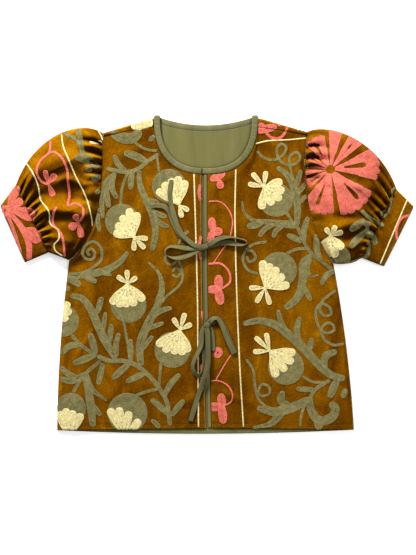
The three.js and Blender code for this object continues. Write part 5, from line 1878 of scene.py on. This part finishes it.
def stitched_object(name, rows, patches, material):
    """One mesh of rows of stitches and the ground under them."""
    around = len(SECTION)
    points = []
    faces = []
    run = []
    for spots, lift, width in rows:
        rings, along = row_rings(spots, lift, width)
        for k in range(len(rings) - 1):
            start = (len(run) + k) * around
            for a in range(start, start + around - 1):
                faces.append((a, a + 1, a + 1 + around, a + around))
        points += rings
        run += list(along)
    spots = np.array(points).reshape(-1, 3).tolist()
    count = len(spots)
    for patch in patches:
        first = len(spots)
        spots += [tuple(corner) for corner in patch]
        faces.append((first, first + 1, first + 2, first + 3))
    mesh = bpy.data.meshes.new(name)
    mesh.from_pydata(spots, [], faces)
    mesh.polygons.foreach_set("use_smooth", np.ones(len(mesh.polygons), bool))
    add_row_map(mesh, run, count)
    mesh.materials.append(material)
    mesh.update()
    return link_object(name, mesh)


# The big rosette of the left sleeve: petals round a small hole. Its centre is a spot (px, py).
ROSETTE_CENTRE = (330, 170)
ROSETTE_HOLE = 8
ROSETTE_GAP = 3.6
ROSETTE_GAP_FULL_AT = 50
SCALLOP_DEPTH = 4.5
ROSETTE_STEP = 2.5
LOBE_FALL = 0.06
LOBE_ROUNDNESS = 0.96
SLOT_BLUNTNESS = 6
PETAL_FULL_AT = 0.8

# A petal is a wedge about turn, spread degrees to each side, that ends in lobes at its reach. Its
# slot is a drop of bare velvet from slot_from to slot_to. All but the turns and lobes are in
# millimetres, and a turn is from the viewer's right.
ROSETTE = table((
    "turn", "spread", "reach", "lobes", "slot_turn", "slot_from", "slot_to", "slot_wide",
), [
    (7, 22, 93, 5, 8, 24, 66, 10),
    (-53, 26, 92, 5, -47, 36, 74, 9),
    (-108, 24, 86, 5, -111, 30, 70, 8),
    (-148, 13, 52, 2, -148, 24, 42, 3),
    (-172, 8, 47, 1, -172, 0, 0, 0),
    (171, 7, 46, 1, 171, 0, 0, 0),
    (150, 11, 46, 2, 150, 24, 40, 3),
    (117, 19, 68, 3, 121, 30, 54, 7),
    (82, 12, 78, 2, 82, 0, 0, 0),
    (50, 13, 82, 3, 50, 34, 62, 3.5),
])

# Seams: the length of a stitch and the gap after it, how far a seam lies in from an edge, and the
# shares of a hem, an edge or a cuff along which it runs.
SEAM_STITCH = (2.6, 1.3)
SEAM_YARN = 0.75
PLACKET = 14
# A painted highlight: an unbroken band of gold yarn this far in from the right front's edge and this
# wide, on the crest of its turned edge.
HIGHLIGHT_INSET = 1.5
HIGHLIGHT_WIDE = 1.6
SEAM_LIFT = 0.1
CUFF_SEAM_LIFT = 0.05
HEM_SHARES = np.linspace(0.004, 0.996, 300)
EDGE_SHARES = np.linspace(0.002, 0.998, 300)
CUFF_SHARES = np.linspace(0.01, 0.99, 200)

# Petals of the heads: how far they reach past their tip, where they start and how they bend.
PETAL_OVERHANG = 3
PETAL_START = 0.04
PETAL_BEND = 1.5


def sew(stitching, points, width, profile, colour, cloths, lift):
    """A stroke as one row where it is thin, and as rows on a closed ground where it is wide."""
    rows = filled_rows(points, width, profile)
    single = width <= ONE_ROW
    stitching.lay(rows, colour, cloths, lift, width if single else ROW_WIDTH)
    if not single:
        stitching.cover(ground(points, width, profile), colour, cloths, lift)


def sew_head(stitching, head):
    """A poppy head: the disc, the petals over it and the stamens."""
    disc = on_garment([head["disc"]])[0]
    hub = on_garment([head["hub"]])[0]
    cloths = head["cloths"]
    radius = head["radius"]
    stitching.lay(disc_rows(disc, radius), "olive", cloths, DISC_LIFT)
    stitching.cover(disc_ground(disc, radius), "olive", cloths, DISC_LIFT)
    away = (hub - disc) / np.linalg.norm(hub - disc)
    for tip in on_garment(head["tips"]):
        start = hub + (tip - hub) * PETAL_START
        bend = (start + tip) / 2 + away * PETAL_BEND
        end = tip + (tip - hub) / np.linalg.norm(tip - hub) * PETAL_OVERHANG
        sew(stitching, [start, bend, end], PETAL_WIDTH, "petal", "cream", cloths, PETAL_LIFT)
    for tip in on_garment(head["stamens"]):
        spots = [hub, (hub + tip) / 2, tip]
        sew(stitching, spots, STAMEN_WIDTH, "petal", "cream", cloths, STAMEN_LIFT)


def sew_strokes(stitching, strokes, colour, cloths, lift):
    for profile, width, spots in strokes:
        sew(stitching, on_garment(spots), width, profile, colour, cloths, lift)


def petal_holds(petal, angle, r):
    """Whether a petal of the rosette has yarn at an angle and a distance from the middle."""
    turn = math.radians(petal["turn"])
    spread = math.radians(petal["spread"])
    slot_turn = math.radians(petal["slot_turn"])
    share = (angle - turn) / spread
    if abs(share) > 1 or r < ROSETTE_HOLE:
        return False
    gap = ROSETTE_GAP / 2 * min(1, r / ROSETTE_GAP_FULL_AT)
    if r * math.sin((1 - abs(share)) * spread) < gap:
        return False
    lobe = abs(((share + 1) / 2 * petal["lobes"]) % 1 * 2 - 1)
    reach = petal["reach"] * (1 - LOBE_FALL * share * share)
    if r > reach - SCALLOP_DEPTH * (1 - math.sqrt(1 - LOBE_ROUNDNESS * lobe * lobe)):
        return False
    if petal["slot_wide"] and petal["slot_from"] < r < petal["slot_to"]:
        t = (r - petal["slot_from"]) / (petal["slot_to"] - petal["slot_from"])
        half = petal["slot_wide"] / 2 * math.sqrt(max(0, t))
        half *= math.sqrt(min(1, SLOT_BLUNTNESS * (1 - t)))
        return abs(r * math.sin(angle - slot_turn)) > half
    return True


def petal_spot(centre, angle, r):
    return centre + r * np.array([math.cos(angle), math.sin(angle)])


def petal_rows(centre, petal):
    """Rows that run out from the middle. Every second one starts where there is room for it."""
    turn = math.radians(petal["turn"])
    spread = math.radians(petal["spread"])
    count = max(2, int(2 * spread * petal["reach"] * PETAL_FULL_AT / ROW_PITCH))
    rows = []
    for k in range(count):
        angle = turn + spread * (2 * (k + 0.5) / count - 1)
        first = ROSETTE_HOLE
        while k % 2 and first * 2 * spread / count < 0.5 * ROW_PITCH:
            first += ROW_STEP
        run = []
        for r in np.arange(first, petal["reach"], ROW_STEP):
            if petal_holds(petal, angle, r):
                run.append(petal_spot(centre, angle, r))
                continue
            rows.append(run)
            run = []
        rows.append(run)
    return [row for row in rows if len(row) > 1]


def petal_ground(centre, petal):
    """Small patches that fill a petal under its rows."""
    turn = math.radians(petal["turn"])
    spread = math.radians(petal["spread"])
    radii = np.arange(ROSETTE_HOLE, petal["reach"], ROSETTE_STEP)
    across = 3 + int(2 * spread * petal["reach"] / ROSETTE_STEP)
    angles = turn + spread * np.linspace(-1, 1, across)
    patches = []
    for a, b in zip(angles, angles[1:]):
        for near, far in zip(radii, radii[1:]):
            corners = [(a, near), (b, near), (b, far), (a, far)]
            if all(petal_holds(petal, *corner) for corner in corners):
                patches.append([petal_spot(centre, *corner) for corner in corners])
    return patches


def sew_rosette(stitching):
    centre = on_garment([ROSETTE_CENTRE])[0]
    for petal in ROSETTE:
        stitching.lay(petal_rows(centre, petal), "pink", LEFT_SLEEVE, 0.0)
        for a, b, c, d in petal_ground(centre, petal):
            stitching.cover([[a, b], [d, c]], "pink", LEFT_SLEEVE, 0.0)


def dashes(route, length, gap):
    """Stitches of a seam: short rows along a route."""
    curve = by_length(np.asarray(route))
    found = []
    place = 0.0
    while place + length < curve.length:
        ends = np.linspace(place, place + length, 3) / curve.length
        found.append(curve(ends))
        place += length + gap
    return found


def sew_seams(stitching):
    """The gold seams along the hems, down both front edges and round the cuffs, and a painted
    highlight: an unbroken gold band on the crest of the right front's turned edge.
    """
    for name, cloths in (("right", RIGHT_BODY), ("left", LEFT_BODY)):
        hem = PANELS[name]["hem"](HEM_SHARES) + np.array([0, STITCH_FROM_HEM])
        stitching.lay(dashes(hem, *SEAM_STITCH), "gold", cloths, SEAM_LIFT, SEAM_YARN)
    edge = PANELS["right"]["edge"](EDGE_SHARES)
    # Painted highlight: an unbroken band of gold yarn along the crest of the right front's turned edge.
    edge_highlight = edge - np.array([HIGHLIGHT_INSET, 0])
    stitching.lay([evenly(edge_highlight, ROW_STEP)], "gold", RIGHT_BODY, 0.0, HIGHLIGHT_WIDE)
    edge = edge - np.array([STITCH_FROM_EDGE, 0])
    stitching.lay(dashes(edge, *SEAM_STITCH), "gold", RIGHT_BODY, SEAM_LIFT, SEAM_YARN)
    edge = PANELS["left"]["edge"](EDGE_SHARES) + np.array([PLACKET, 0])
    stitching.lay(dashes(edge, *SEAM_STITCH), "gold", LEFT_BODY, SEAM_LIFT, SEAM_YARN)
    for name, cloths in (("right", RIGHT_SLEEVE), ("left", LEFT_SLEEVE)):
        plan = cuff_plan(SIDES[name])
        for s in CUFF_STITCH_AT:
            seam = dashes(plan(s, CUFF_SHARES), *SEAM_STITCH)
            stitching.lay(seam, "gold", cloths, CUFF_SEAM_LIFT, SEAM_YARN)


def sew_all(stitching):
    for strokes, cloths in OLIVE_WORK:
        sew_strokes(stitching, strokes, "olive", cloths, 0)
    for head in HEADS:
        sew_head(stitching, head)
    for strokes, colour, cloths in LINE_WORK:
        sew_strokes(stitching, strokes, colour, cloths, LINE_LIFT)
    sew_rosette(stitching)
    sew_seams(stitching)


# Materials
# Painted shade: how far the occlusion looks, and how dark it makes the colour in seams, folds and under
# ties.
PAINTED_SHADE_REACH = 0.007
PAINTED_SHADE_SAMPLES = 8
PAINTED_SHADE_STOPS = [(0.28, (0.10, 0.09, 0.07)), (0.68, (0.46, 0.44, 0.38)), (0.93, grey(1.0))]


def new_material(name):
    material = bpy.data.materials.new(name)
    material.use_nodes = True
    nodes = material.node_tree.nodes
    return material, nodes, material.node_tree.links, nodes["Principled BSDF"]


def own_place(nodes):
    return nodes.new("ShaderNodeTexCoord").outputs["Object"]


def stretched(nodes, links, place, scale):
    node = nodes.new("ShaderNodeMapping")
    node.inputs["Scale"].default_value = scale
    links.new(place, node.inputs["Vector"])
    return node.outputs["Vector"]


def noise(nodes, links, vector, scale, detail, roughness=0.5, distortion=0.0):
    node = nodes.new("ShaderNodeTexNoise")
    node.inputs["Scale"].default_value = scale
    node.inputs["Detail"].default_value = detail
    node.inputs["Roughness"].default_value = roughness
    node.inputs["Distortion"].default_value = distortion
    links.new(vector, node.inputs["Vector"])
    return node.outputs["Fac"]


def maths(nodes, links, operation, *values):
    """A sum of one or two values, each a number or the outcome of another node."""
    node = nodes.new("ShaderNodeMath")
    node.operation = operation
    for slot, value in zip(node.inputs, values):
        if isinstance(value, float):
            slot.default_value = value
        else:
            links.new(value, slot)
    return node.outputs["Value"]


def as_share(nodes, links, value):
    """Brings a value between -1 and 1 to one between 0 and 1."""
    node = nodes.new("ShaderNodeMapRange")
    node.inputs["From Min"].default_value = -1
    links.new(value, node.inputs["Value"])
    return node.outputs["Result"]


def ramp(nodes, links, value, stops):
    node = nodes.new("ShaderNodeValToRGB")
    band = node.color_ramp
    while len(band.elements) < len(stops):
        band.elements.new(0.5)
    for element, (position, colour) in zip(band.elements, stops):
        element.position = position
        element.color = (*colour, 1)
    links.new(value, node.inputs["Fac"])
    return node.outputs["Color"]


def multiplied(nodes, links, colour, other, strength):
    node = nodes.new("ShaderNodeMix")
    node.data_type = "RGBA"
    node.blend_type = "MULTIPLY"
    node.inputs["Factor"].default_value = strength
    links.new(colour, node.inputs["A"])
    links.new(other, node.inputs["B"])
    return node.outputs["Result"]


def toned(nodes, links, colour, value, stops, strength):
    """A colour multiplied by the ramp of a value."""
    return multiplied(nodes, links, colour, ramp(nodes, links, value, stops), strength)


def bump(nodes, links, height, strength, distance, before=None):
    node = nodes.new("ShaderNodeBump")
    node.inputs["Strength"].default_value = strength
    node.inputs["Distance"].default_value = distance
    links.new(height, node.inputs["Height"])
    if before is not None:
        links.new(before, node.inputs["Normal"])
    return node.outputs["Normal"]


def shaded(nodes, links, colour):
    """Painted shade: colour darkened by ambient occlusion where cloth lies close over cloth, in seams,
    folds and under ties.
    """
    occlusion_probe = nodes.new("ShaderNodeAmbientOcclusion")
    occlusion_probe.samples = PAINTED_SHADE_SAMPLES
    occlusion_probe.inputs["Distance"].default_value = PAINTED_SHADE_REACH
    return toned(nodes, links, colour, occlusion_probe.outputs["AO"], PAINTED_SHADE_STOPS, 1.0)


# Velvet
VELVET_DRAWN = (1.0, 0.45, 1.0)
VELVET_STOPS = [
    (0.30, (0.085, 0.028, 0.0002)),
    (0.47, (0.150, 0.052, 0.0002)),
    (0.60, (0.205, 0.078, 0.0004)),
    (0.76, (0.330, 0.145, 0.0030)),
]
WORN_STOPS = [(0.3, grey(0.78)), (0.72, grey(1.18))]
PILE_STOPS = [(0.25, grey(0.72)), (0.8, grey(1.22))]
GRAIN_STOPS = [(0.36, (0.68, 0.66, 0.64)), (0.50, grey(1.0)), (0.66, (1.40, 1.42, 1.5))]
VELVET_SHEEN = 0.7
VELVET_SHEEN_TINT = (1.0, 0.48, 0.0)
# Painted light and shade by slope: the way lit slopes turn, near that of the key lamp, how strongly
# they are lit, and the ramp from shaded to lit.
PAINTED_LIGHT_TOWARD = (-0.32, 0.82, 0.0)
PAINTED_LIGHT_GAIN = 3.2
PAINTED_LIGHT_STOPS = [
    (0.28, (0.080, 0.070, 0.070)),
    (0.40, (0.150, 0.138, 0.120)),
    (0.47, (0.245, 0.235, 0.215)),
    (0.52, grey(0.3125)),
    (0.62, (0.420, 0.430, 0.600)),
    (0.78, (0.540, 0.600, 1.0)),
]


def painted_slope_light(nodes, links, normal):
    """Painted light and shade: velvet is made lighter on slopes that turn towards the key lamp's side
    and darker on those that turn away.
    """
    toward_light = nodes.new("ShaderNodeVectorMath")
    toward_light.operation = "DOT_PRODUCT"
    toward_light.inputs[1].default_value = PAINTED_LIGHT_TOWARD
    links.new(normal, toward_light.inputs[0])
    shade = ramp(nodes, links, as_share(nodes, links, toward_light.outputs["Value"]), PAINTED_LIGHT_STOPS)
    gain = nodes.new("ShaderNodeVectorMath")
    gain.operation = "SCALE"
    gain.inputs["Scale"].default_value = PAINTED_LIGHT_GAIN
    links.new(shade, gain.inputs[0])
    return gain.outputs["Vector"]


def velvet_material():
    """Brown velvet: cloudy dye, worn patches, a fine pile, painted light and shade by slope, and
    painted shade in seams and folds.
    """
    material, nodes, links, shader = new_material("velvet")
    place = own_place(nodes)
    drawn = stretched(nodes, links, place, VELVET_DRAWN)
    clouds = noise(nodes, links, drawn, scale=16, detail=5, roughness=0.62, distortion=0.9)
    patches = noise(nodes, links, place, scale=46, detail=6, roughness=0.7, distortion=0.4)
    pile = noise(nodes, links, place, scale=900, detail=3, roughness=0.7)
    grain = noise(nodes, links, place, scale=340, detail=4, roughness=0.75)
    colour = ramp(nodes, links, clouds, VELVET_STOPS)
    colour = toned(nodes, links, colour, patches, WORN_STOPS, 0.75)
    colour = toned(nodes, links, colour, pile, PILE_STOPS, 0.8)
    colour = toned(nodes, links, colour, grain, GRAIN_STOPS, 0.9)
    shader.inputs["Roughness"].default_value = 0.8
    shader.inputs["Specular IOR Level"].default_value = 0.0
    shader.inputs["Sheen Weight"].default_value = VELVET_SHEEN
    shader.inputs["Sheen Roughness"].default_value = 0.3
    shader.inputs["Sheen Tint"].default_value = (*VELVET_SHEEN_TINT, 1)
    nap = bump(nodes, links, pile, strength=0.5, distance=0.0004)
    soft = bump(nodes, links, clouds, strength=0.5, distance=0.004, before=nap)
    dents = bump(nodes, links, patches, strength=0.35, distance=0.0016, before=soft)
    links.new(dents, shader.inputs["Normal"])
    # Painted light and shade: slopes towards the key lamp's side lighter, those turned away darker.
    colour = multiplied(nodes, links, colour, painted_slope_light(nodes, links, dents), 1.0)
    # The base colour carries painted shade in seams, folds and under ties.
    links.new(shaded(nodes, links, colour), shader.inputs["Base Color"])
    return material


# Thread
YARNS = {
    "olive": {"dark": (0.170, 0.150, 0.052), "light": (0.310, 0.270, 0.098)},
    "cream": {"dark": (0.80, 0.67, 0.28), "light": (0.95, 0.85, 0.45)},
    "pink": {"dark": (0.70, 0.130, 0.092), "light": (0.93, 0.230, 0.155)},
    "gold": {"dark": (0.28, 0.130, 0.008), "light": (0.52, 0.270, 0.022)},
}
# The length of a link of the chain, in metres.
STITCH_LENGTH = 0.0026
FLECK_STOPS = [(0.3, grey(0.66)), (0.7, grey(1.2))]
TUFT_STOPS = [(0.36, (0.66, 0.65, 0.60)), (0.50, grey(0.98)), (0.66, (1.16, 1.16, 1.14))]
LINK_STOPS = [(0.0, grey(0.55)), (0.35, grey(1.0))]
# Painted shade between rows: each row's colour darkens towards its two edges.
ROW_EDGE_SHADE = [
    (0.04, (0.42, 0.40, 0.36)),
    (0.30, grey(1.0)),
    (0.70, grey(1.0)),
    (0.96, (0.42, 0.40, 0.36)),
]


def thread_material(name, dark, light):
    """Chain stitch in wool or cotton yarn: links along the row, a slight change of shade, and painted
    shade towards the edges of each row.
    """
    material, nodes, links, shader = new_material(name)
    place = own_place(nodes)
    along = nodes.new("ShaderNodeUVMap")
    along.uv_map = "rows"
    split = nodes.new("ShaderNodeSeparateXYZ")
    links.new(along.outputs["UV"], split.inputs["Vector"])
    turns = maths(nodes, links, "MULTIPLY", split.outputs["X"], 2 * math.pi / STITCH_LENGTH)
    lifted = as_share(nodes, links, maths(nodes, links, "SINE", turns))
    shade = noise(nodes, links, place, scale=120, detail=4, roughness=0.6)
    fibre = noise(nodes, links, place, scale=1500, detail=2, roughness=0.6)
    tufts = noise(nodes, links, place, scale=430, detail=3, roughness=0.7)
    colour = ramp(nodes, links, shade, [(0.3, dark), (0.7, light)])
    colour = toned(nodes, links, colour, fibre, FLECK_STOPS, 0.8)
    colour = toned(nodes, links, colour, tufts, TUFT_STOPS, 1.0)
    colour = toned(nodes, links, colour, lifted, LINK_STOPS, 0.7)
    # Painted shade at the edges of each row, where rows meet.
    colour = toned(nodes, links, colour, split.outputs["Y"], ROW_EDGE_SHADE, 1.0)
    links.new(colour, shader.inputs["Base Color"])
    shader.inputs["Roughness"].default_value = 0.72
    shader.inputs["Specular IOR Level"].default_value = 0.25
    shader.inputs["Sheen Weight"].default_value = 0.25
    shader.inputs["Sheen Roughness"].default_value = 0.5
    shader.inputs["Sheen Tint"].default_value = (*light, 1)
    links_up = bump(nodes, links, lifted, strength=0.7, distance=0.0005)
    fibres_up = bump(nodes, links, fibre, strength=0.4, distance=0.0002, before=links_up)
    links.new(fibres_up, shader.inputs["Normal"])
    return material


# Cotton. The crease is the strength of the soft creases in its relief. Dark and light span the cloth's
# own colour and the painted shade and light of its creases.
COTTONS = {
    "lining": {
        "dark": (0.106, 0.098, 0.028),
        "light": (0.166, 0.154, 0.048),
        "weave": 260,
        "crease": 0.5,
    },
    "binding": {
        "dark": (0.092, 0.088, 0.032),
        "light": (0.190, 0.176, 0.068),
        "weave": 300,
        "crease": 0.6,
    },
    "tie": {
        "dark": (0.064, 0.060, 0.021),
        "light": (0.155, 0.140, 0.052),
        "weave": 300,
        "crease": 1.0,
    },
}
SLUB_DRAWN = (1.0, 0.12, 1.0)
SLUB_STOPS = [(0.3, grey(0.86)), (0.7, grey(1.1))]
WEAVE_STOPS = [(0.2, grey(0.78)), (0.9, grey(1.08))]


def weave_bands(nodes, links, place, direction, scale):
    node = nodes.new("ShaderNodeTexWave")
    node.wave_type = "BANDS"
    node.bands_direction = direction
    node.inputs["Scale"].default_value = scale
    node.inputs["Distortion"].default_value = 1.2
    node.inputs["Detail"].default_value = 2
    node.inputs["Detail Scale"].default_value = 3
    links.new(place, node.inputs["Vector"])
    return node.outputs["Fac"]


def cotton_material(name, cotton):
    """Plain-woven cotton: a fine crossed weave, slubs, soft creases with painted shade in their troughs
    and painted light on their crests, and painted shade in seams and under ties.
    """
    material, nodes, links, shader = new_material(name)
    place = own_place(nodes)
    weaves = [weave_bands(nodes, links, place, way, cotton["weave"]) for way in ("X", "Y")]
    crossed = maths(nodes, links, "MAXIMUM", *weaves)
    drawn = stretched(nodes, links, place, SLUB_DRAWN)
    slubs = noise(nodes, links, drawn, scale=170, detail=4, roughness=0.6)
    creases = noise(nodes, links, drawn, scale=26, detail=5, roughness=0.6, distortion=1.0)
    # Painted shade and light: the colour follows the crease relief, darker in its troughs and lighter
    # on its crests.
    colour = ramp(nodes, links, creases, [(0.25, cotton["dark"]), (0.75, cotton["light"])])
    colour = toned(nodes, links, colour, slubs, SLUB_STOPS, 0.35)
    colour = toned(nodes, links, colour, crossed, WEAVE_STOPS, 0.7)
    # The base colour carries painted shade in seams, folds and under ties.
    links.new(shaded(nodes, links, colour), shader.inputs["Base Color"])
    shader.inputs["Roughness"].default_value = 0.88
    shader.inputs["Specular IOR Level"].default_value = 0.15
    shader.inputs["Sheen Weight"].default_value = 0.12
    shader.inputs["Sheen Roughness"].default_value = 0.5
    weave_up = bump(nodes, links, crossed, strength=0.35, distance=0.0002)
    creases_up = bump(
        nodes, links, creases, strength=cotton["crease"], distance=0.003, before=weave_up
    )
    links.new(creases_up, shader.inputs["Normal"])
    return material


# Studio
IMAGE_HEIGHT = 555
LENS = 100
SENSOR = 36
FARTHEST = 20
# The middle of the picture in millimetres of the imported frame, at the height that its scale is for.
VIEW_X = 1.85
VIEW_Y = -5.55
VIEW_Z = 6
WORLD_LIGHT = 0.32
# Lamps in metres and watts, each turned to the origin.
LIGHTS = table(("name", "place", "size", "watts", "tint"), [
    ("key", (-0.9, 2.3, 1.2), 0.7, 160, (1, 0.985, 0.96)),
    ("fill", (1.9, 0.2, 1.5), 1.4, 26, (0.97, 0.985, 1)),
])
FLOOR_HALF = 12.0
FLOOR_DROP = 0.0002
FLOOR_STOPS = [(0.0, grey(0.93)), (1.0, grey(0.96))]
FLOOR_GLOW = 0.45


def add_camera():
    data = bpy.data.cameras.new("camera")
    data.lens = LENS
    data.sensor_width = SENSOR
    data.clip_end = FARTHEST
    camera = link_object("camera", data)
    distance = IMAGE_HEIGHT * MM_A_PIXEL * LENS / SENSOR
    camera.location = (VIEW_X * MM, VIEW_Y * MM, (VIEW_Z + distance) * MM)
    bpy.context.scene.camera = camera


def add_light(name, place, size, watts, tint):
    data = bpy.data.lights.new(name, "AREA")
    data.shape = "DISK"
    data.size = size
    data.energy = watts
    data.color = tint
    light = link_object(name, data)
    light.location = place
    light.rotation_euler = (-Vector(place)).to_track_quat("-Z", "Y").to_euler()


def add_world():
    world = bpy.data.worlds.new("studio")
    bpy.context.scene.world = world
    world.use_nodes = True
    shade = world.node_tree.nodes["Background"]
    shade.inputs["Color"].default_value = (1.0, 1.0, 1.0, 1)
    shade.inputs["Strength"].default_value = WORLD_LIGHT
    bpy.context.scene.view_settings.view_transform = "Standard"


def floor_material():
    material, nodes, links, shader = new_material("pale_floor")
    patches = noise(nodes, links, own_place(nodes), scale=3, detail=2)
    tone = ramp(nodes, links, patches, FLOOR_STOPS)
    links.new(tone, shader.inputs["Base Color"])
    links.new(tone, shader.inputs["Emission Color"])
    shader.inputs["Emission Strength"].default_value = FLOOR_GLOW
    shader.inputs["Roughness"].default_value = 0.9
    shader.inputs["Specular IOR Level"].default_value = 0.1
    return material


def add_floor():
    size = FLOOR_HALF
    corners = [(-size, -size, 0), (size, -size, 0), (size, size, 0), (-size, size, 0)]
    mesh = bpy.data.meshes.new("floor")
    mesh.from_pydata(corners, [], [(0, 1, 2, 3)])
    mesh.materials.append(floor_material())
    floor = link_object("floor", mesh)
    floor.location.z = -FLOOR_DROP


def dress(piece, node):
    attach(piece, "root")
    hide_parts(node)
    return piece


def add_cloths():
    velvet = velvet_material()
    lining, binding, tie = (cotton_material(name, row) for name, row in COTTONS.items())
    pieces = {"back": dress(back_piece(velvet), "back")}
    for name in SIDES:
        pieces[f"shoulder_{name}"] = dress(shoulder_piece(name, velvet), "back")
        pieces[f"front_{name}"] = dress(front_piece(name, velvet), f"front_{name}")
        pieces[f"sleeve_{name}"] = dress(sleeve_piece(name, velvet), f"sleeve_{name}")
        pieces[f"cuff_{name}"] = dress(cuff_piece(name, velvet), f"cuff_{name}")
    pieces["lining"] = dress(lining_piece(lining), "back_lining")
    pieces["neck"] = dress(neck_binding_piece(binding), "neck_binding")
    pieces["edge"] = dress(edge_binding_piece(binding), "edge_binding")
    for name, parts in TIES.items():
        pieces[name] = dress(tie_piece(name, parts, tie), name)
    return pieces


def add_stitching(pieces):
    threads = {name: thread_material(name, row["dark"], row["light"]) for name, row in YARNS.items()}
    sewn = [f"{part}_{name}" for part in ("front", "shoulder", "sleeve", "cuff") for name in SIDES]
    stitching = Stitching({name: pieces[name] for name in sewn})
    sew_all(stitching)
    for piece in stitching.objects(threads):
        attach(piece, "root")
        pieces[piece.name] = piece


def build():
    add_camera()
    add_world()
    for row in LIGHTS:
        add_light(**row)
    add_floor()
    pieces = add_cloths()
    add_stitching(pieces)


build()
